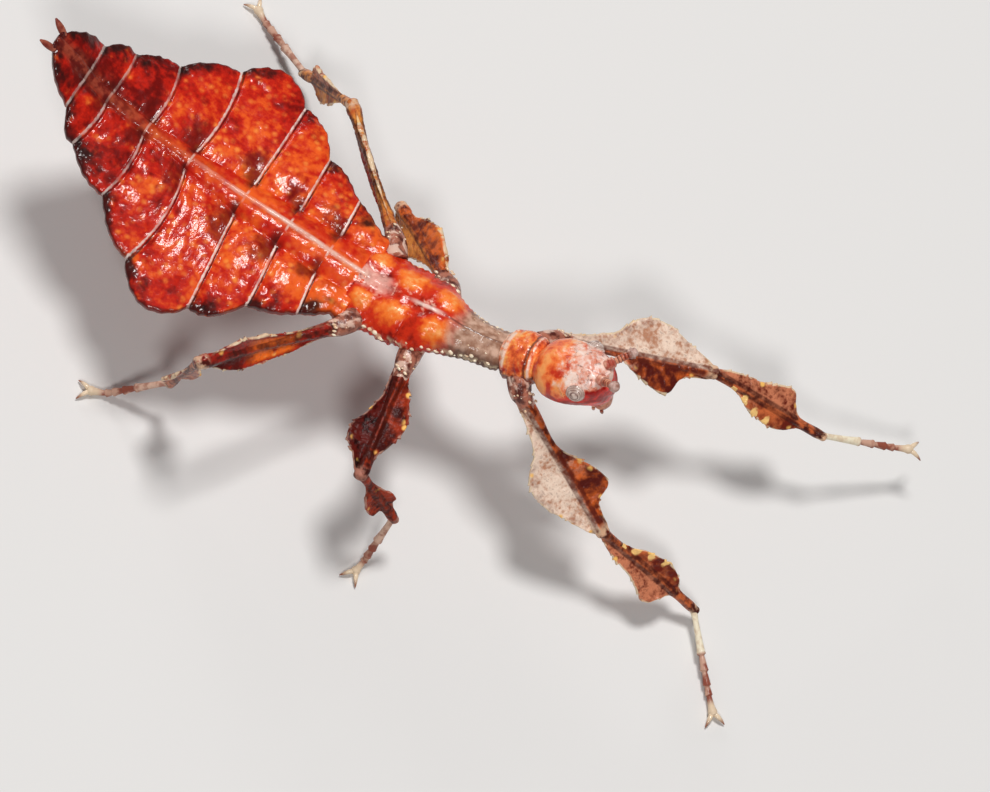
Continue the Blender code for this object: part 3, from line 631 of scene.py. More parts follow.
def thorax_finish(name, neck_from):
    """Orange where the domes are and deep red between them, turning pinkish brown forward of neck_from."""
    f = Finish(name, 0.4, coat=0.45, coat_roughness=0.17)
    patches, grain, fine = f.noise(1.3, 4.0, 0.5), f.noise(4.0, 4.0), f.noise(8.0, 2.0)
    warm = f.sway(f.mark("dome"), grain, 1.1)
    warm = f.sway(warm, patches, 1.3)
    colour = f.mix(f.ramp(warm, -0.35, 0.2), *THORAX_RED)
    colour = f.mix(f.ramp(warm, 0.15, 0.75), colour, DOME_ORANGE)
    colour = f.mix(f.both(f.ramp(warm, 0.6, 1.25), f.ramp(fine, 0.25, 0.65), 0.85), colour, DOME_YELLOW)
    marbled = f.both(f.ramp(f.noise(2.2, 4.0, 0.8), 0.54, 0.66), f.ramp(fine, 0.4, 0.6),
                     f.ramp(f.mark("middle"), 0.0, 0.5))
    colour = f.mix(f.both(marbled, 0.65), colour, MARBLE_PINK)
    neck = f.ramp(f.sway(f.mark("plan_x"), patches, 1.4), neck_from - 0.2, neck_from + 0.45)
    bark = f.mix(f.ramp(grain, 0.3, 0.7), *NECK_TOP)
    bark = f.mix(f.both(f.ramp(f.mark("top"), 0.8, 0.3), 0.85), bark, NECK_SIDE)
    colour = f.mix(neck, colour, bark)
    flank = f.both(f.ramp(f.mark("edge"), 0.4, 0.9), f.ramp(f.noise(2.5, 2.0), 0.5, 0.62))
    colour = f.mix(f.both(flank, 0.6), colour, CREAM)
    # A pale patch on the middle line behind, a bright spindle farther on, then one fine dark line
    behind = f.both(f.ramp(f.sway(f.mark("middle"), grain, 1.2), 0.15, 0.95),
                    f.ramp(f.mark("plan_x"), -0.25, -0.9), f.ramp(fine, 0.1, 0.5))
    colour = f.mix(f.both(behind, 0.65), colour, HIND_PINK)
    soft_spindle = f.sway(f.mark("spindle"), grain, 0.5)
    bright = f.both(f.ramp(soft_spindle, 0.4, 0.95), f.ramp(f.mark("plan_x"), 0.0, 0.6),
                    f.ramp(f.mark("plan_x"), 1.5, 1.0))
    colour = f.mix(f.both(bright, 0.8), colour, SPINDLE_PINK)
    line = f.both(f.ramp(f.mark("spindle"), 0.8, 0.99), f.ramp(f.mark("plan_x"), 1.2, 1.6),
                  f.ramp(grain, 0.3, 0.5))
    colour = f.mix(f.both(line, 0.7), colour, DARK)
    f.bump(f.add(fine, grain, 1.5), 0.012, 0.8)
    return f.paint(colour, f.add(0.28, neck, 0.14))


# The hind half has no neck, so its neck starts far ahead of it
NO_NECK = 9.0
metathorax = drawn_skin("metathorax_skin", 96, 90, thorax_place(METATHORAX, -1.62, 0.36), bulge=0.12)
metathorax.data.materials.append(thorax_finish("clear orange thorax cuticle", NO_NECK))
mount(metathorax, "thorax", "metathorax")
mesothorax = drawn_skin("mesothorax_skin", 96, 130, thorax_place(MESOTHORAX, 0.34, 3.62), bulge=0.12)
mesothorax.data.materials.append(thorax_finish("orange and bark brown thorax cuticle", 1.75))
mount(mesothorax, "neck", "mesothorax")
print("thorax faces", len(metathorax.data.polygons) + len(mesothorax.data.polygons))

# %% [markdown]
# The prothorax is the collar behind the head. Its rims stand up front and back, each with a shallow groove
# beside it, and the groove behind the front rim is dark.

# %% Prothorax
PROTHORAX_START = 3.62
PROTHORAX_LENGTH = 1.2
PROTHORAX_PITCH = 24
PROTHORAX = [(0.0, 0.62, 0.55), (0.2, 0.84, 0.68), (0.6, 0.88, 0.74), (0.85, 0.84, 0.72), (1.0, 0.74, 0.64)]
UP = np.array([0.0, 0.0, 1.0])


def frame_of(ahead):
    side = unit(np.cross(UP, ahead))
    return side, np.cross(ahead, side)


def prothorax_place(along, turn):
    ahead = direction(math.degrees(math.atan2(0.08, 1.0)), PROTHORAX_PITCH)
    side, up = frame_of(ahead)
    lean, crest = curve(THORAX_LEAN, PROTHORAX_START)[0], back(PROTHORAX_START)[0]
    start = np.array([PROTHORAX_START, lean, crest - 0.5])
    half_width, half_height = curve(PROTHORAX, along)
    angle = 2 * np.pi * turn
    y, z = np.cos(angle) * half_width, np.sin(angle) * half_height
    local = np.stack([along * 2, y, z], 1)
    wander = 0.03 * rough(np.stack([y, z, z * 0], 1), 1.6)
    collar = swell(along, 0.1 + wander, 0.1)
    lip = swell(along, 0.92 + wander, 0.04)
    dip = 0.5 * swell(along, 0.27 + wander, 0.06) + swell(along, 0.81 + wander, 0.06)
    lift = 1 + 0.05 * collar + 0.025 * lip - 0.045 * dip + 0.04 * rough(local, 1.7) + 0.02 * rough(local, 3.5)
    centres = start + along[:, None] * (ahead * PROTHORAX_LENGTH)
    offsets = (y * lift)[:, None] * side + (z * lift)[:, None] * up
    marks = {"collar": collar, "lip": lip, "dip": dip, "top": np.sin(angle)}
    return centres, offsets, np.tile(ahead, (len(along), 1)), marks


# %% [markdown]
# The collar is orange and yellow on top, with pale rims that are partly their own colour and partly a painted
# highlight, and a dark red-brown low on its sides.

# %% Finish of the prothorax
COLLAR_RED = ((0.42, 0.02, 0.01), (0.88, 0.17, 0.04))
COLLAR_YELLOW = (1.0, 0.44, 0.12)
COLLAR_RIM_AND_HIGHLIGHT = (0.94, 0.7, 0.58)
COLLAR_SIDE = ((0.06, 0.008, 0.006), (0.26, 0.05, 0.03))


def collar_finish():
    f = Finish("orange collar with pale rims", 0.36, coat=0.7, coat_roughness=0.12)
    patches, grain, fine = f.noise(1.6, 4.0, 0.4), f.noise(4.0, 4.0), f.noise(8.0, 2.0)
    glow = f.sway(patches, grain, 0.6)
    colour = f.mix(f.ramp(glow, 0.3, 0.52), *COLLAR_RED)
    colour = f.mix(f.both(f.ramp(glow, 0.46, 0.66), f.ramp(fine, 0.3, 0.6)), colour, COLLAR_YELLOW)
    colour = f.mix(f.both(f.ramp(f.mark("dip"), 0.45, 0.95), 0.8), colour, MAROON)
    # The rims' pale is partly their own colour and partly a painted highlight
    pale = f.math("MAXIMUM", f.ramp(f.mark("collar"), 0.1, 0.5), f.ramp(f.mark("lip"), 0.3, 0.8))
    colour = f.mix(f.both(pale, f.ramp(grain, 0.34, 0.56), 0.85), colour, COLLAR_RIM_AND_HIGHLIGHT)
    low = f.ramp(f.sway(f.mark("top"), grain, 0.7), 0.42, 0.12)
    colour = f.mix(f.both(low, 0.92), colour, f.mix(f.ramp(grain, 0.4, 0.6), *COLLAR_SIDE))
    f.bump(f.add(fine, grain, 1.5), 0.02, 0.8)
    return f.paint(colour, f.add(0.22, grain, 0.25))


prothorax = drawn_skin("prothorax_skin", 80, 70, prothorax_place, bulge=0.1)
prothorax.data.materials.append(collar_finish())
mount(prothorax, "head", "prothorax")
print("prothorax faces", len(prothorax.data.polygons))

# %% [markdown]
# The head is a smooth rounded box, wider than the collar. It is held up a little and is deepest in front,
# where the mouth hangs, so its table gives the heights above and below its middle apart.

# %% Head
HEAD_MIDDLE = np.array([5.80, 0.36, BACK_HEIGHT + 1.2])
HEAD_AHEAD = direction(8, 30)
HEAD = [(-1.16, 0.62, 0.52, 0.45), (-0.9, 0.9, 0.7, 0.6), (-0.5, 1.05, 0.8, 0.74), (0.0, 1.06, 0.8, 0.92),
        (0.4, 0.94, 0.74, 1.08), (0.75, 0.82, 0.66, 1.14), (1.05, 0.66, 0.52, 1.0), (1.2, 0.44, 0.34, 0.72)]
HEAD_SIDE, HEAD_UP = frame_of(HEAD_AHEAD)


def head_place(along, turn):
    distance = HEAD[0][0] + (HEAD[-1][0] - HEAD[0][0]) * np.sin(np.pi / 2 * along)
    half_width, top, bottom = curve(HEAD, distance)
    angle = 2 * np.pi * turn
    y = half_width * np.cos(angle)
    z = np.where(np.sin(angle) > 0, top, bottom) * np.sin(angle)
    local = np.stack([distance, y, z], 1)
    lift = 1 + 0.012 * rough(local, 1.5) + 0.006 * rough(local, 6.0)
    centres = HEAD_MIDDLE + distance[:, None] * HEAD_AHEAD
    offsets = (y * lift)[:, None] * HEAD_SIDE + (z * lift)[:, None] * HEAD_UP
    forward = (distance - HEAD[0][0]) / (HEAD[-1][0] - HEAD[0][0])
    marks = {"top": np.sin(angle), "forward": forward, "side": np.abs(y)}
    return centres, offsets, np.tile(HEAD_AHEAD, (len(along), 1)), marks


# %% [markdown]
# The head is orange behind. Its crown is pale pink, partly its own colour and partly a painted sheen with
# white painted glints, and fine brown lines wind over it. The middle of the brow is red, the cheeks have a
# pale web, and the face below is deep red.

# %% Finish of the head
HEAD_ORANGE = ((0.6, 0.035, 0.012), (0.95, 0.2, 0.045))
HEAD_YELLOW = (1.0, 0.42, 0.13)
CROWN_PINK_AND_SHEEN = ((0.75, 0.28, 0.18), (0.93, 0.7, 0.6))
LINE_BROWN = (0.22, 0.05, 0.03)
WEB_PINK = (0.92, 0.7, 0.6)
PAINTED_GLINT = (0.98, 0.86, 0.8)
BROW_RED = (0.72, 0.02, 0.008)
FACE_RED = ((0.34, 0.004, 0.003), (0.9, 0.022, 0.007))


def head_finish():
    f = Finish("orange head cuticle with pale pink crown and painted sheen", 0.36, coat=0.7, coat_roughness=0.13)
    patches, grain, fine = f.noise(1.5, 4.0, 0.7), f.noise(4.0, 4.0), f.noise(8.0, 3.0)
    glow = f.sway(patches, grain, 0.6)
    colour = f.mix(f.ramp(glow, 0.3, 0.5), *HEAD_ORANGE)
    colour = f.mix(f.both(f.ramp(glow, 0.46, 0.66), 0.8), colour, HEAD_YELLOW)
    # The crown is pale, partly its own colour and partly a painted sheen, with fine brown lines where a noise
    # crosses its middle value
    pale_crown_and_sheen = f.both(f.ramp(f.sway(f.mark("forward"), grain, 0.7), 0.36, 0.7),
                   f.ramp(f.sway(f.mark("top"), grain, 0.8), 0.1, 0.7))
    colour = f.mix(f.both(pale_crown_and_sheen, 0.85), colour, f.mix(f.ramp(glow, 0.3, 0.65), *CROWN_PINK_AND_SHEEN))
    lines = f.ramp(f.apart(f.noise(2.4, 3.0, 1.2), 0.5), 0.02, 0.004)
    colour = f.mix(f.both(lines, f.ramp(f.mark("forward"), 0.35, 0.6), 0.75), colour, LINE_BROWN)
    cheek = f.both(f.ramp(f.mark("forward"), 0.45, 0.65), f.ramp(f.mark("top"), 0.4, 0.1),
                   f.ramp(f.mark("top"), -0.35, 0.0))
    web = f.ramp(f.apart(f.noise(3.3, 2.0, 0.8), 0.5), 0.035, 0.01)
    colour = f.mix(f.both(cheek, web, 0.85), colour, WEB_PINK)
    # Painted glints: white flecks on the crown that stand for highlights
    painted_glints = f.both(f.ramp(fine, 0.42, 0.66), pale_crown_and_sheen, 0.5)
    colour = f.mix(painted_glints, colour, PAINTED_GLINT)
    brow = f.both(f.ramp(f.mark("forward"), 0.8, 0.92), f.ramp(f.mark("side"), 0.55, 0.3),
                  f.ramp(f.mark("top"), 0.85, 0.5))
    colour = f.mix(f.both(brow, 0.85), colour, BROW_RED)
    low = f.add(f.sway(f.mark("top"), grain, 0.4), f.mark("forward"), -0.45)
    face = f.mix(f.ramp(glow, 0.35, 0.65), *FACE_RED)
    colour = f.mix(f.ramp(low, 0.1, -0.12), colour, face)
    f.bump(f.add(fine, grain, 1.8), 0.015, 0.8)
    return f.paint(colour, f.add(0.22, grain, 0.3))


head = drawn_skin("head_skin", 96, 90, head_place, bulge=0.14)
head.data.materials.append(head_finish())
mount(head, "head", "head")
print("head faces", len(head.data.polygons))

# %% [markdown]
# Feelers, cerci, eyes, mouthparts, hips, feet and claws are all tubes along a chain of points, thick and thin
# as a table says. The chain's corners are smoothed, because a real joint bends over a short length of skin.

# %% Tubes along a chain
RING_DEPTH = 0.08
SMOOTHING = (-0.04, -0.02, 0.0, 0.02, 0.04)
LOOK_AHEAD = 0.02


def tube_place(points, table, seed, rings=0.0, flat=1.0):
    """A tube along a chain of points, with its radius from a table of share and radius."""
    chain = np.array(points)
    lengths = np.linalg.norm(np.diff(chain, axis=0), axis=1)
    marks_at = np.concatenate([[0], np.cumsum(lengths)]) / lengths.sum()

    def at(share):
        share = np.clip(share, 0, 1)
        return np.stack([np.interp(share, marks_at, chain[:, axis]) for axis in range(3)], 1)

    def place(along, turn):
        slack = np.clip(np.minimum(along, 1 - along) / SMOOTHING[-1], 0, 1)
        smooth = sum(at(along + shift * slack) for shift in SMOOTHING) / len(SMOOTHING)
        ahead = at(along + LOOK_AHEAD) - at(along - LOOK_AHEAD)
        ahead /= np.linalg.norm(ahead, axis=1)[:, None]
        side = np.cross(ahead, UP)
        side /= np.linalg.norm(side, axis=1)[:, None]
        rise = np.cross(side, ahead)
        ring = np.sin(along * rings * 2 * np.pi)
        radius = curve(table, along) * (1 + RING_DEPTH * ring)
        angle = 2 * np.pi * turn
        offsets = radius[:, None] * (np.cos(angle)[:, None] * side + flat * np.sin(angle)[:, None] * rise)
        offsets *= (1 + 0.06 * rough(smooth * 0.3 + offsets + seed, 2.5))[:, None]
        return smooth, offsets, ahead, {"share": along, "ring": ring}
    return place


# %% [markdown]
# The feelers are stout: a thick pinkish root joint, a short brown shaft with dark rings and a dull pink bulb.
# Two blunt red-brown cerci stand at the tip of the abdomen.

# %% Feelers and cerci
FEELER_ROOT = ((0.45, 0.08, 0.05), (0.82, 0.42, 0.3))
FEELER_SHAFT = ((0.42, 0.08, 0.04), (0.8, 0.34, 0.2))
FEELER_BULB = ((0.34, 0.16, 0.12), (0.62, 0.40, 0.34))
RING_BROWN = (0.10, 0.012, 0.008)
TAIL_BROWN = ((0.20, 0.03, 0.02), (0.42, 0.12, 0.07))


def feeler_finish():
    f = Finish("ringed red brown feeler", 0.4, coat=0.5, coat_roughness=0.15)
    grain = f.noise(4.0, 3.0)
    share = f.add(f.mark("share"), grain, 0.1)
    root = f.mix(f.ramp(grain, 0.4, 0.6), *FEELER_ROOT)
    shaft = f.mix(f.ramp(grain, 0.35, 0.65), *FEELER_SHAFT)
    colour = f.mix(f.ramp(share, 0.34, 0.42), root, shaft)
    ring = f.both(f.ramp(f.mark("ring"), 0.0, -0.8), f.ramp(share, 0.28, 0.4))
    colour = f.mix(f.both(ring, 0.75), colour, RING_BROWN)
    bulb = f.mix(f.ramp(grain, 0.4, 0.6), *FEELER_BULB)
    colour = f.mix(f.ramp(share, 0.78, 0.86), colour, bulb)
    f.bump(grain, 0.03, 0.8)
    return f.paint(colour)


def tail_finish():
    f = Finish("dull red brown tail cuticle", 0.5, coat=0.25, coat_roughness=0.25)
    grain = f.noise(4.0, 3.0)
    colour = f.mix(f.ramp(grain, 0.35, 0.65), *TAIL_BROWN)
    f.bump(grain, 0.03, 0.8)
    return f.paint(colour)


ANTENNA_POSES = {"left": (55, 20), "right": (-28, 50)}
ANTENNA_LENGTH = 1.0
ANTENNA_TABLE = [(0, 0.15), (0.14, 0.18), (0.28, 0.16), (0.34, 0.1), (0.4, 0.12), (0.7, 0.11), (0.77, 0.13),
                 (0.9, 0.18), (1, 0.14)]
CERCUS_TABLE = [(0, 0.1), (0.35, 0.12), (0.7, 0.1), (1, 0.04)]
CERCUS_LENGTH = 0.62
feeler_look, tail_look = feeler_finish(), tail_finish()
for hand, sign in (("left", 1), ("right", -1)):
    root = HEAD_MIDDLE + HEAD_AHEAD * 1.12 + HEAD_SIDE * (sign * 0.26) + HEAD_UP * 0.4
    tip = root + direction(*ANTENNA_POSES[hand]) * ANTENNA_LENGTH
    place = tube_place([root, tip], ANTENNA_TABLE, sign, rings=9.0)
    feeler = drawn_skin(f"antenna_{hand}_skin", 32, 90, place, 0.08)
    feeler.data.materials.append(feeler_look)
    mount(feeler, "feeler", f"antenna_{hand}")
    root = np.array([ABDOMEN_END[0] + 0.06, sign * 0.3, back(ABDOMEN_END[0])[0] - 0.22])
    tip = root + direction(180 - sign * 18, 38) * CERCUS_LENGTH
    place = tube_place([root, tip], CERCUS_TABLE, sign, flat=0.8)
    cercus = drawn_skin(f"cercus_{hand}_skin", 28, 40, place, 0.03)
    cercus.data.materials.append(tail_look)
    mount(cercus, "feeler", f"cercus_{hand}")
print("feeler faces", len(feeler.data.polygons), "cercus faces", len(cercus.data.polygons))

# %% [markdown]
# Each compound eye is a pinkish grey dome with thin dark stripes, in a pale socket, high on the side of the
# head. It is drawn out along the normal of the head's wall, turned a little forwards.

# %% Eyes
EYE_AHEAD = 0.46
EYE_TURN = 22
EYE_TABLE = [(0, 0.24), (0.5, 0.31), (0.58, 0.29), (0.62, 0.25), (0.8, 0.23), (0.93, 0.17), (1, 0.1)]
STRIPE_DARK = (0.2, 0.1, 0.08)
EYE_GREY = ((0.5, 0.34, 0.28), (0.76, 0.6, 0.52))
SOCKET_PINK = ((0.55, 0.2, 0.14), (0.9, 0.68, 0.58))


def eye_finish():
    f = Finish("grey striped compound eye", 0.25, coat=1.0, coat_roughness=0.06)
    grain, facets = f.noise(5.0, 3.0), f.cells(14.0)
    stripes = f.math("SINE", f.add(f.math("MULTIPLY", f.mark("share"), 60.0), grain, 5.0))
    colour = f.mix(f.ramp(stripes, -1.0, -0.2), STRIPE_DARK, f.mix(f.ramp(grain, 0.35, 0.65), *EYE_GREY))
    socket = f.mix(f.ramp(grain, 0.35, 0.6), *SOCKET_PINK)
    colour = f.mix(f.ramp(f.mark("share"), 0.6, 0.5), colour, socket)
    f.bump(facets, 0.012, 0.8)
    return f.paint(colour)


def join(pieces, name):
    """Several pieces made one, under a name."""
    bpy.ops.object.select_all(action="DESELECT")
    for piece in pieces:
        piece.select_set(True)
    bpy.context.view_layer.objects.active = pieces[0]
    bpy.ops.object.join()
    pieces[0].name = pieces[0].data.name = name
    return pieces[0]


eye_look = eye_finish()
half_width, top, _ = curve(HEAD, EYE_AHEAD)[:, 0]
across, rise = math.cos(math.radians(EYE_TURN)), math.sin(math.radians(EYE_TURN))
for hand, sign in (("left", 1), ("right", -1)):
    wall = HEAD_MIDDLE + HEAD_AHEAD * EYE_AHEAD + HEAD_SIDE * (sign * across * half_width)
    wall += HEAD_UP * (rise * top)
    out = unit(HEAD_SIDE * (sign * across / half_width) + HEAD_UP * (rise / top) + HEAD_AHEAD * 0.25)
    place = tube_place([wall - out * 0.18, wall + out * 0.2], EYE_TABLE, sign)
    eye = drawn_skin(f"eye_{hand}_skin", 48, 48, place, 0.03)
    eye.data.materials.append(eye_look)
    mount(eye, "eye", f"eye_{hand}")
print("eye faces", len(eye.data.polygons))

# %% [markdown]
# The mouthparts hang under the face: a broad lip with two small jointed palps on each side. They are small
# and mostly hidden, so they are joined to one piece with the feelers' finish.

# %% Mouthparts
MOUTH_AHEAD = 0.6
LIP_TABLE = [(0, 0.4), (0.5, 0.42), (0.85, 0.3), (1, 0.18)]
LIP_SEED = 3
PALP_TABLE = [(0, 0.07), (0.45, 0.06), (0.5, 0.045), (0.9, 0.06), (1, 0.04)]

lip_root = HEAD_MIDDLE + HEAD_AHEAD * MOUTH_AHEAD - HEAD_UP * (curve(HEAD, MOUTH_AHEAD)[2, 0] - 0.15)
mouth_down = unit(HEAD_AHEAD * 0.05 - HEAD_UP)
place = tube_place([lip_root, lip_root + mouth_down * 0.65], LIP_TABLE, LIP_SEED, flat=0.7)
mouth = [drawn_skin("lip", 40, 40, place, 0.06)]
for sign in (1, -1):
    for step_back, reach in ((0.02, 0.4), (-0.2, 0.32)):
        root = lip_root + HEAD_SIDE * (sign * 0.3) + HEAD_AHEAD * step_back + mouth_down * 0.2
        tip = root + unit(mouth_down + HEAD_SIDE * (sign * 0.25) + HEAD_AHEAD * step_back) * reach
        place = tube_place([root, tip], PALP_TABLE, sign, rings=3.0)
        mouth.append(drawn_skin("palp", 16, 30, place, 0.02))
mouth = join(mouth, "mouthparts_skin")
mouth.data.materials.clear()
mouth.data.materials.append(feeler_look)
mount(mouth, "feeler", "mouthparts")
print("mouthparts faces", len(mouth.data.polygons))

# %% [markdown]
# A leaf insect's leg is a round shaft with a thin leafy lobe along each side of the femur and the tibia. The
# joints' places come from the same lengths and angles as the solids, so each skin lies over its solid.

# %% Leg joints
HIPS = {"front": (4.5, 1.0, 6.05), "middle": (1.07, 1.36, 5.2), "hind": (-1.1, 1.58, 5.25)}
LENGTHS = {"front": (5.65, 4.55, 3.5), "middle": (4.2, 3.1, 2.75), "hind": (5.4, 4.5, 3.2)}
FRONT_HIP_LEAN = 0.385
POSES = {
    "front_left": ((28, -11), (14, -23), 34, (0.03, -0.41, 0.91)),
    "front_right": ((-16, -31), (7, -32), -47, (0.03, -0.41, 0.91)),
    "middle_left": ((141, -26), (-64, -65), 154, (-0.7, -0.5, 0.5)),
    "middle_right": ((-79, -4), (16, -60), -96, (0.03, -0.41, 0.91)),
    "hind_left": ((136, -7), (142, -51), 150, (0.75, 0.65, 0.1)),
    "hind_right": ((-125, 13), (141, -76), -156, (0.55, -0.6, 0.55)),
}
RAISED_TARSUS = {"front_left": (-20, -12)}
FOOT_HEIGHT = 0.2
PAD_START = 0.82


def leg_points(leg):
    """Hip, knee, ankle, heel and toe of a leg, in the body plan."""
    pair, hand = leg.split("_")
    femur, tibia, tarsus = LENGTHS[pair]
    femur_pose, tibia_pose, tarsus_turn, _ = POSES[leg]
    x, half, height = HIPS[pair]
    lean = FRONT_HIP_LEAN if pair == "front" else 0.0
    hip = np.array([x, lean + (half if hand == "left" else -half), height])
    knee = hip + direction(*femur_pose) * femur
    ankle = knee + direction(*tibia_pose) * tibia
    if leg in RAISED_TARSUS:
        drop, level = RAISED_TARSUS[leg]
    else:
        drop, level = math.degrees(math.asin((FOOT_HEIGHT - ankle[2]) / (tarsus * PAD_START))), 0
    heel = ankle + direction(tarsus_turn, drop) * (tarsus * PAD_START)
    return hip, knee, ankle, heel, heel + direction(tarsus_turn, level) * (tarsus * (1 - PAD_START))


for leg in POSES:
    print(leg, "knee at", leg_points(leg)[1].round(2))

# %% [markdown]
# The lobes' outlines are tables of reach along the segment, with small teeth added where a lobe is wide.
# The section is a round shaft with two ridges on top and a thin blade to each side, thicker at its rim.

# %% Lobed segments
FEMUR_LOBES = {
    "front": [(0.0, 0.3, 0.3), (0.22, 0.42, 0.3), (0.39, 0.66, 0.3), (0.5, 1.18, 0.42), (0.58, 1.32, 0.66),
              (0.66, 1.28, 0.9), (0.74, 1.12, 1.02), (0.78, 0.98, 0.92), (0.82, 0.84, 0.5), (0.9, 0.6, 0.38),
              (1.0, 0.3, 0.32)],
    "middle": [(0.0, 0.3, 0.3), (0.2, 0.36, 0.38), (0.38, 0.4, 0.66), (0.52, 0.55, 0.82), (0.66, 0.88, 0.68),
               (0.79, 0.86, 0.42), (0.87, 0.56, 0.34), (1.0, 0.3, 0.3)],
    "hind": [(0.0, 0.3, 0.3), (0.2, 0.34, 0.36), (0.45, 0.4, 0.5), (0.62, 0.5, 0.58), (0.74, 0.56, 0.6),
             (0.84, 0.42, 0.48), (0.92, 0.34, 0.36), (1.0, 0.3, 0.3)],
}
TIBIA_LOBES = {
    "front": [(0.0, 0.28, 0.28), (0.15, 0.42, 0.3), (0.3, 0.5, 0.38), (0.42, 0.58, 0.52), (0.57, 0.84, 0.64),
              (0.66, 0.82, 0.6), (0.71, 0.48, 0.52), (0.8, 0.3, 0.34), (1.0, 0.26, 0.26)],
    "middle": [(0.0, 0.28, 0.28), (0.25, 0.32, 0.32), (0.5, 0.52, 0.42), (0.64, 0.58, 0.48),
               (0.74, 0.36, 0.38), (1.0, 0.26, 0.26)],
    "hind": [(0.0, 0.28, 0.28), (0.25, 0.34, 0.34), (0.5, 0.5, 0.5), (0.66, 0.64, 0.6), (0.74, 0.4, 0.42),
             (1.0, 0.26, 0.26)],
}
FEMUR_SHAFT = [(0.0, 0.27), (0.2, 0.22), (0.4, 0.14), (0.74, 0.13), (0.88, 0.19), (0.97, 0.24), (1.0, 0.22)]
TIBIA_SHAFT = [(0.0, 0.19), (0.08, 0.17), (0.3, 0.11), (0.65, 0.1), (0.8, 0.15), (0.95, 0.2), (1.0, 0.19)]
SOLID_SHAFT = 0.3
BLADE = 0.085


def teeth_along(reach, seed):
    """Small teeth that rise slowly and fall sharply, uneven in size."""
    wave = reach * 3.1 + 0.35 * np.sin(reach * 5.3 + seed) + 0.2 * np.sin(reach * 11.7 + 2 * seed)
    size = 0.55 + 0.45 * np.sin(reach * 7.9 + seed * 1.7)
    return (wave % 1) ** 2 * size


def lobed_place(start, stop, first, last, lobes, shaft, face, seed):
    """A lobed segment from start to stop, drawn from first mm past its start to last mm past its end."""
    axis = unit(stop - start)
    length = np.linalg.norm(stop - start)
    side = unit(np.cross(face, axis))
    flat = np.cross(axis, side)

    def place(along, turn):
        reach = first + (length + last - first) * along
        share = np.clip(reach / length, 0, 1)
        outer, inner = curve(lobes, share)
        radius = curve(shaft, share)
        angle = 2 * np.pi * turn
        across = np.cos(angle)
        wide = np.where(across > 0, outer, inner)
        leafy = np.clip((wide - 0.32) / 0.14, 0, 1)
        wide = wide - (SOLID_SHAFT - radius) * (1 - leafy)
        s = np.sign(across) * (1 - (1 - np.abs(across)) ** 1.25)
        rim = np.abs(s)
        tooth = leafy * np.clip(rim - 0.75, 0, 1) * 4 * 0.1 * (teeth_along(reach, seed) - 0.3)
        y = s * wide + np.sign(across) * tooth
        upper = np.sin(angle) >= 0
        round_part = np.sqrt(np.clip(1 - (y / radius) ** 2, 0, 1)) * radius
        blade = BLADE * np.sqrt(np.clip(1 - rim**12, 0, 1)) * (0.75 + 0.6 * rim**5)
        z = np.maximum(round_part, blade * leafy) + 0.35 * np.minimum(round_part, blade * leafy)
        z = np.where(leafy > 0, z, radius * np.sqrt(np.clip(1 - s**2, 0, 1)))
        z -= 0.06 * swell(y, 0, 0.05) * upper * (radius < 0.2)
        points = np.stack([reach, y, np.where(upper, z, -z) + seed * 11], 1)
        z = z * (1 + 0.1 * rough(points, 2.2)) + 0.014 * rough(points, 6.0)
        cup = 0.1 * leafy * rim**2 * np.where(across > 0, 1.0, 0.8)
        cup += 0.05 * leafy * rim * rough(points, 0.9, 1)
        offsets = y[:, None] * side + (np.where(upper, z, -z) - cup)[:, None] * flat
        margin = wide + tooth * np.sign(across) - np.abs(y)
        marks = {"share": share, "across": s, "out": np.abs(y), "margin": margin, "leafy": leafy}
        return start + reach[:, None] * axis, offsets, np.tile(axis, (len(reach), 1)), marks
    return place


# %% [markdown]
# The femora are dry and leafy. The front pair's outer lobes are pinkish tan with a fine grain, the left ones
# behind are amber, the right middle one is nearly black, and the right hind one is deep red with a clear
# orange window. All have a pale, flecked rim, and two dark lines along the shaft with a paler one between.
# One finish with these colours as its values serves all twelve segments, so they look like one animal's.

# %% Finish of the lobed segments
DOT_YELLOW = (1.0, 0.55, 0.14)
BLOB_YELLOW = (1.0, 0.62, 0.22)


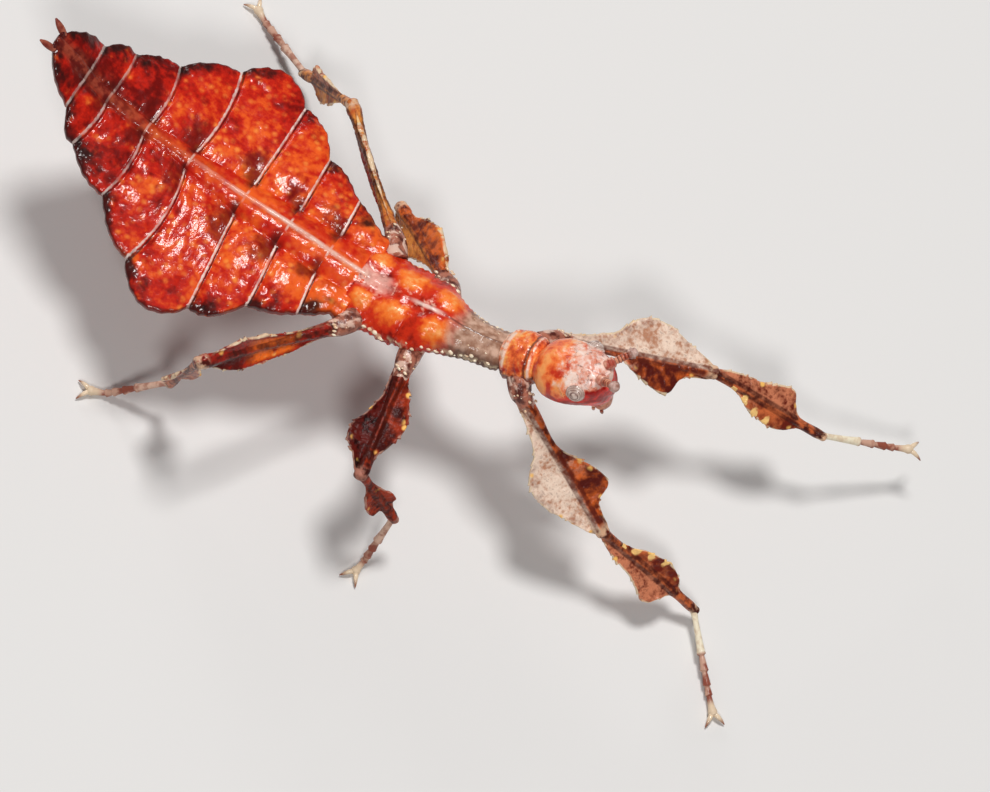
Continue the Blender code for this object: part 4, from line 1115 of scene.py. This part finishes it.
def lobe_finish(name, outer, inner, dark, spots, gloss=0.4, window=None, blobs=0.0):
    """Outer and inner are pairs of colours. Dark is for the shaft and the blotches, spots for the margins.

    Window is the colour of a clear middle, and blobs the strength of a row of yellow spots inside.
    """
    f = Finish(name, 0.45, coat=gloss, coat_roughness=0.18)
    patches, grain, fine = f.noise(1.5, 4.0, 0.7), f.noise(4.0, 4.0), f.noise(9.0, 3.0)
    mottle = f.sway(patches, grain, 0.6)
    outside = f.mix(f.ramp(f.sway(mottle, fine, 0.9), 0.2, 0.66), *outer)
    rootward = f.add(mottle, f.math("SUBTRACT", 0.5, f.mark("share")), 0.35)
    inside = f.mix(f.ramp(rootward, 0.3, 0.64), *inner)
    # Pale patches on the inner lobe towards its root: partly cream cuticle, partly a painted sheen
    pale = f.both(f.ramp(f.noise(2.0, 4.0), 0.48, 0.64), f.ramp(f.mark("share"), 0.7, 0.4),
                  f.ramp(fine, 0.3, 0.6))
    inside = f.mix(f.both(pale, 0.5), inside, outer[1])
    colour = f.mix(f.ramp(f.mark("across"), -0.08, 0.08), inside, outside)
    if window:
        lit = f.both(f.ramp(f.mark("share"), 0.3, 0.42), f.ramp(f.mark("share"), 0.72, 0.6),
                     f.ramp(f.mark("margin"), 0.06, 0.2), f.ramp(f.noise(2.4, 3.0), 0.3, 0.44))
        colour = f.mix(lit, colour, window)
    blotch = f.both(f.ramp(f.mark("margin"), 0.5, 0.1), f.ramp(f.noise(2.3, 4.0, 0.5), 0.48, 0.74))
    colour = f.mix(f.both(blotch, 0.55), colour, dark)
    colour = f.mix(f.both(f.ramp(fine, 0.58, 0.7), 0.35), colour, dark)
    # The shaft: two dark lines with a paler one between them, and paler patches where there is no lobe
    stem = f.both(f.ramp(f.mark("out"), 0.19, 0.13), f.ramp(grain, 1.0, 0.3))
    colour = f.mix(f.both(stem, 0.9), colour, dark)
    colour = f.mix(f.both(f.ramp(f.mark("out"), 0.05, 0.01), f.ramp(grain, 0.4, 0.6), 0.5), colour, inner[1])
    bare = f.both(f.ramp(f.mark("leafy"), 0.3, 0.0), f.ramp(grain, 0.4, 0.62))
    colour = f.mix(f.both(bare, 0.7), colour, inner[1])
    ends = f.both(f.math("MAXIMUM", f.ramp(f.mark("share"), 0.94, 0.99), f.ramp(f.mark("share"), 0.06, 0.0)),
                  f.ramp(grain, 0.38, 0.58))
    colour = f.mix(f.both(ends, 0.6), colour, spots)
    rim = f.both(f.ramp(f.mark("margin"), 0.08, 0.03), f.ramp(f.noise(3.5, 2.0), 0.34, 0.52),
                 f.ramp(f.mark("leafy"), 0.0, 0.5))
    colour = f.mix(f.both(rim, 0.85), colour, spots)
    dots = f.both(f.ramp(f.add(f.cells(2.4), grain, 0.2), 0.4, 0.22), f.ramp(f.mark("margin"), 0.26, 0.1),
                  f.ramp(f.mark("leafy"), 0.2, 0.6))
    colour = f.mix(dots, colour, DOT_YELLOW)
    if blobs:
        beat = f.math("SINE", f.add(f.math("MULTIPLY", grain, 5.0), f.mark("share"), 55.0))
        depth = f.add(f.math("MULTIPLY", f.math("SUBTRACT", patches, 0.4), 0.4), beat, 0.16)
        row = f.both(f.ramp(f.math("SUBTRACT", f.mark("margin"), depth), 0.14, 0.0),
                     f.ramp(f.mark("across"), -0.2, -0.4), f.ramp(beat, -0.2, 0.3),
                     f.ramp(f.mark("share"), 0.14, 0.2), f.ramp(f.mark("share"), 0.66, 0.56), blobs)
        colour = f.mix(row, colour, BLOB_YELLOW)
    f.bump(f.add(fine, grain, 1.6), 0.022, 0.9)
    return f.paint(colour, f.add(0.22, fine, 0.4))


# %% [markdown]
# The photo's legs differ more in colour than in shape. Each row below has a leg's femur and then its tibia:
# the outer side, the inner side, the dark of the shaft, the spots, the gloss, and for some a window or blobs.

# %% Colours of the legs
TAN = ((0.52, 0.24, 0.14), (0.94, 0.72, 0.57))
RUST = ((0.10, 0.010, 0.006), (0.74, 0.14, 0.025))
WINE = ((0.014, 0.001, 0.001), (0.11, 0.007, 0.004))
EMBER = ((0.05, 0.003, 0.002), (0.42, 0.04, 0.01))
BROWN = ((0.14, 0.012, 0.005), (0.66, 0.22, 0.11))
RED_BROWN = ((0.15, 0.014, 0.006), (0.66, 0.15, 0.045))
DEEP_RED = ((0.10, 0.005, 0.003), (0.42, 0.016, 0.006))
AMBER = ((0.42, 0.08, 0.018), (0.82, 0.30, 0.06))
CHESTNUT = (0.13, 0.018, 0.009)
DULL_PINK = (0.5, 0.26, 0.19)
WINDOW_ORANGE = (0.95, 0.16, 0.014)
LEG_COLOURS = {
    "front_left": ((TAN, RUST, CHESTNUT, CREAM, 0.2), (BROWN, RED_BROWN, DARK, CREAM, 0.4, None, 1.0)),
    "front_right": ((TAN, RUST, CHESTNUT, CREAM, 0.25), (BROWN, RED_BROWN, DARK, CREAM, 0.5, None, 1.0)),
    "middle_left": ((AMBER, RUST, CHESTNUT, CREAM, 0.4), (BROWN, AMBER, DARK, CREAM, 0.3)),
    "middle_right": ((WINE, EMBER, DARK, DULL_PINK, 0.05), (EMBER, EMBER, DARK, DULL_PINK, 0.1)),
    "hind_left": ((AMBER, DEEP_RED, DARK, CREAM, 0.5), (BROWN, AMBER, DARK, CREAM, 0.3)),
    "hind_right": ((DEEP_RED, DEEP_RED, DARK, CREAM, 0.7, WINDOW_ORANGE), (BROWN, BROWN, DARK, CREAM, 0.4)),
}

# %% [markdown]
# A foot's first joint is cream on the front legs and pinkish on the others, and its last ones are brown. The
# hips are wrinkled, pink on the folds and brown between them, and the claws darken towards their tips.

# %% Finishes of the feet, hips and claws
FOOT_BROWN = ((0.30, 0.08, 0.05), (0.62, 0.36, 0.26))
PAD_CREAM = (0.78, 0.6, 0.42)
CREAM_JOINT = ((0.76, 0.6, 0.42), (0.92, 0.82, 0.62))
PINK_JOINT = ((0.45, 0.2, 0.14), (0.74, 0.48, 0.36))
HIP_BROWN = ((0.10, 0.02, 0.014), (0.46, 0.16, 0.10))
FOLD_PINK = (0.85, 0.58, 0.46)
CLAW_HORN = ((0.85, 0.66, 0.46), (0.32, 0.10, 0.05))


def foot_finish(name, first_joint):
    f = Finish(name, 0.45, coat=0.3, coat_roughness=0.2)
    grain = f.noise(5.0, 3.0)
    brown = f.mix(f.ramp(f.noise(2.6, 3.0), 0.4, 0.6), *FOOT_BROWN)
    pale = f.mix(f.ramp(grain, 0.35, 0.6), *first_joint)
    colour = f.mix(f.ramp(f.add(f.mark("share"), grain, 0.06), 0.43, 0.46), pale, brown)
    colour = f.mix(f.ramp(f.mark("share"), 0.84, 0.93), colour, PAD_CREAM)
    colour = f.mix(f.ramp(f.mark("share"), 0.05, 0.0), colour, DARK)
    f.bump(grain, 0.03, 0.8)
    return f.paint(colour)


def hip_finish():
    f = Finish("wrinkled hip of pink and brown", 0.42, coat=0.5, coat_roughness=0.14)
    grain, folds = f.noise(3.6, 4.0), f.noise(2.8, 4.0, 0.4)
    colour = f.mix(f.ramp(grain, 0.36, 0.62), *HIP_BROWN)
    colour = f.mix(f.both(f.ramp(folds, 0.5, 0.62), 0.8), colour, FOLD_PINK)
    f.bump(f.add(grain, folds, 2.5), 0.04, 0.9)
    return f.paint(colour)


def claw_finish():
    f = Finish("pale claw", 0.3, coat=0.6, coat_roughness=0.1)
    grain = f.noise(5.0, 2.0)
    reach = f.add(f.mark("share"), grain, 0.3)
    f.bump(grain, 0.01, 0.5)
    return f.paint(f.mix(f.ramp(reach, 0.6, 1.1), *CLAW_HORN))


# %% [markdown]
# The coxa is the short hip. It starts inside the body wall and ends inside the femur's root. The foot is a
# row of small joints, each a little wider at its far end, that ends in a pad and two claws. The tables below
# serve all six legs, so that only their joints' places, lobes and colours differ.

# %% Hips, feet and claws
TARSUS_TABLE = [(0.0, 0.13), (0.03, 0.12), (0.1, 0.1), (0.3, 0.115), (0.4, 0.14), (0.425, 0.15), (0.44, 0.09),
                (0.47, 0.1), (0.56, 0.13), (0.58, 0.145), (0.595, 0.09), (0.62, 0.1), (0.7, 0.13),
                (0.715, 0.14), (0.73, 0.09), (0.75, 0.1), (0.8, 0.125), (0.81, 0.13), (0.82, 0.09),
                (0.85, 0.095), (0.93, 0.12), (0.97, 0.16), (1.0, 0.14)]
COXA_TABLE = [(0, 0.4), (0.35, 0.38), (0.7, 0.3), (1, 0.24)]
CLAW_TABLE = [(0, 0.09), (0.5, 0.07), (1, 0.02)]
CLAW_SPLAY = 0.75
FEMUR_START = 0.55
OVERLAP = 0.1
TIBIA_SEED = 6


def clamp_to_floor(piece):
    """Raises what would lie under the floor up to it."""
    for vertex in piece.data.vertices:
        vertex.co.z = max(vertex.co.z, 0.0)


def add_claws(leg, heel, toe):
    """Two claws on the tip of a foot, splayed and hooked down, joined to one piece."""
    level = unit(toe - heel)
    made = []
    for hand in (1, -1):
        out = unit(level + hand * CLAW_SPLAY * unit(np.cross(UP, level)))
        root = toe - level * 0.08
        chain = [root, root + out * 0.22 + UP * 0.03, root + out * 0.4 - UP * 0.02,
                 root + out * 0.52 - UP * 0.1]
        made.append(drawn_skin(f"claw_{leg}", 16, 34, tube_place(chain, CLAW_TABLE, hand), 0.02))
    claws = join(made, f"claws_{leg}")
    clamp_to_floor(claws)
    return claws


# %% [markdown]
# Each leg is drawn from its hip outwards. A segment starts a little inside the one before it, so that no gap
# shows at a joint. A left leg's blade is turned over, so that its outer lobe lies outside as the right one's
# does.

# %% Six legs
hip_look, claw_look = hip_finish(), claw_finish()
cream_foot = foot_finish("cream and brown jointed foot", CREAM_JOINT)
pink_foot = foot_finish("pinkish brown jointed foot", PINK_JOINT)
leg_pieces = {}
for number, leg in enumerate(POSES):
    pair, hand = leg.split("_")
    hip, knee, ankle, heel, toe = leg_points(leg)
    femur_axis = unit(knee - hip)
    inward = np.array([0, -1.0 if hand == "left" else 1.0, 0])
    face = np.array(POSES[leg][3]) * (1 if hand == "left" else -1)
    coxa_chain = [hip + unit(inward - femur_axis * 0.6) * 0.35, hip + femur_axis * 0.25,
                  hip + femur_axis * 0.8]
    coxa = drawn_skin(f"coxa_{leg}_skin", 40, 40, tube_place(coxa_chain, COXA_TABLE, number), 0.1)
    place = lobed_place(hip, knee, FEMUR_START, OVERLAP, FEMUR_LOBES[pair], FEMUR_SHAFT, face, number)
    femur = drawn_skin(f"femur_{leg}_skin", 96, 200, place, 0.12)
    place = lobed_place(knee, ankle, -OVERLAP, OVERLAP, TIBIA_LOBES[pair], TIBIA_SHAFT, face,
                        number + TIBIA_SEED)
    tibia = drawn_skin(f"tibia_{leg}_skin", 88, 170, place, 0.1)
    place = tube_place([ankle, heel, toe], TARSUS_TABLE, number)
    tarsus = drawn_skin(f"tarsus_{leg}_skin", 32, 160, place, 0.06)
    clamp_to_floor(tarsus)
    claws = add_claws(leg, heel, toe)
    femur_look, tibia_look = LEG_COLOURS[leg]
    coxa.data.materials.append(hip_look)
    femur.data.materials.append(lobe_finish(f"femur cuticle {leg}", *femur_look))
    tibia.data.materials.append(lobe_finish(f"tibia cuticle {leg}", *tibia_look))
    tarsus.data.materials.append(cream_foot if pair == "front" else pink_foot)
    claws.data.materials.clear()
    claws.data.materials.append(claw_look)
    mount(coxa, "neck", f"coxa_{leg}")
    mount(femur, "femur", f"femur_{leg}")
    mount(tibia, "tibia", f"tibia_{leg}")
    mount(tarsus, "tarsus", f"tarsus_{leg}")
    mount(claws, "tarsus")
    leg_pieces[leg] = (coxa, femur, tibia, tarsus, claws)
print("legs", {leg: sum(len(piece.data.polygons) for piece in pieces) for leg, pieces in leg_pieces.items()})

# %% [markdown]
# Rows of small cream warts stand along the sides of the neck and of the thorax, with finer ones higher up on
# the neck, and some on the hips. Each is a small ball, flattened and drawn out along the body, that is half
# sunk into the skin. There are about a hundred, so they are placed by chance and joined to one piece.

# %% Warts
WART = 0.045
WARTS_PER_HIP = 9
HIP_RADIUS = 0.33
WART_CREAM = ((0.80, 0.52, 0.32), (0.95, 0.82, 0.62))


def thorax_wall(table, x, turn):
    """A point on the thorax's wall: turn is 0 at the left margin and 180 degrees at the right one."""
    half_width, half_height = curve(table, x)[:, 0]
    angle = math.radians(turn)
    y = curve(THORAX_LEAN, x)[0] + half_width * math.cos(angle)
    return np.array([x, y, back(x)[0] - half_height + half_height * math.sin(angle)])


def warts(name, points, sizes):
    """Small flattened balls at the points, joined to one piece."""
    made = []
    for point, size in zip(points, sizes):
        bpy.ops.mesh.primitive_uv_sphere_add(segments=12, ring_count=8, radius=size * MM,
                                             location=tuple((point + PLAN_SHIFT) * MM))
        made.append(bpy.context.object)
        made[-1].scale = (chance.uniform(1.1, 1.9), chance.uniform(0.8, 1.2), chance.uniform(0.6, 1.0))
        made[-1].rotation_euler = (0, 0, chance.uniform(-0.5, 0.5))
    row = join(made, name)
    bpy.ops.object.transform_apply(location=True, rotation=True, scale=True)
    bpy.ops.object.shade_smooth()
    return row


# %% [markdown]
# The rows follow the wall of the thorax at chosen heights. One source of chance with a fixed seed moves and
# sizes every wart, so that each run of the script gives the same animal.

# %% Placing the warts
chance = np.random.default_rng(7)
wart_points, wart_sizes = [], []
for table, first, last, step in ((MESOTHORAX, 1.75, 3.35, 0.17), (MESOTHORAX, 0.55, 1.6, 0.24),
                                 (METATHORAX, -0.9, 0.2, 0.24)):
    for x in np.arange(first, last, step):
        for turn in (chance.uniform(4, 22), chance.uniform(158, 176)):
            wart_points.append(thorax_wall(table, x + chance.uniform(-0.04, 0.04), turn))
            wart_sizes.append(WART * chance.uniform(0.8, 1.7))
for x in np.arange(1.9, 3.4, 0.3):
    for turn in (chance.uniform(35, 60), chance.uniform(120, 145)):
        wart_points.append(thorax_wall(MESOTHORAX, x, turn))
        wart_sizes.append(WART * chance.uniform(0.35, 0.6))
for leg in POSES:
    hip, knee = leg_points(leg)[:2]
    axis = unit(knee - hip)
    side = unit(np.cross(axis, UP))
    for _ in range(WARTS_PER_HIP):
        turn = chance.uniform(20, 160)
        out = side * math.cos(math.radians(turn)) + np.cross(side, axis) * math.sin(math.radians(turn))
        wart_points.append(hip + axis * chance.uniform(0.1, 0.8) + out * HIP_RADIUS)
        wart_sizes.append(WART * chance.uniform(0.5, 1.1))


def wart_finish():
    f = Finish("cream warts", 0.35, coat=0.6, coat_roughness=0.12)
    grain = f.noise(6.0, 2.0)
    f.bump(grain, 0.01, 0.6)
    return f.paint(f.mix(f.ramp(grain, 0.35, 0.65), *WART_CREAM))


wart_row = warts("warts", wart_points, wart_sizes)
wart_row.data.materials.append(wart_finish())
mount(wart_row, "neck")
print("warts", len(wart_points))
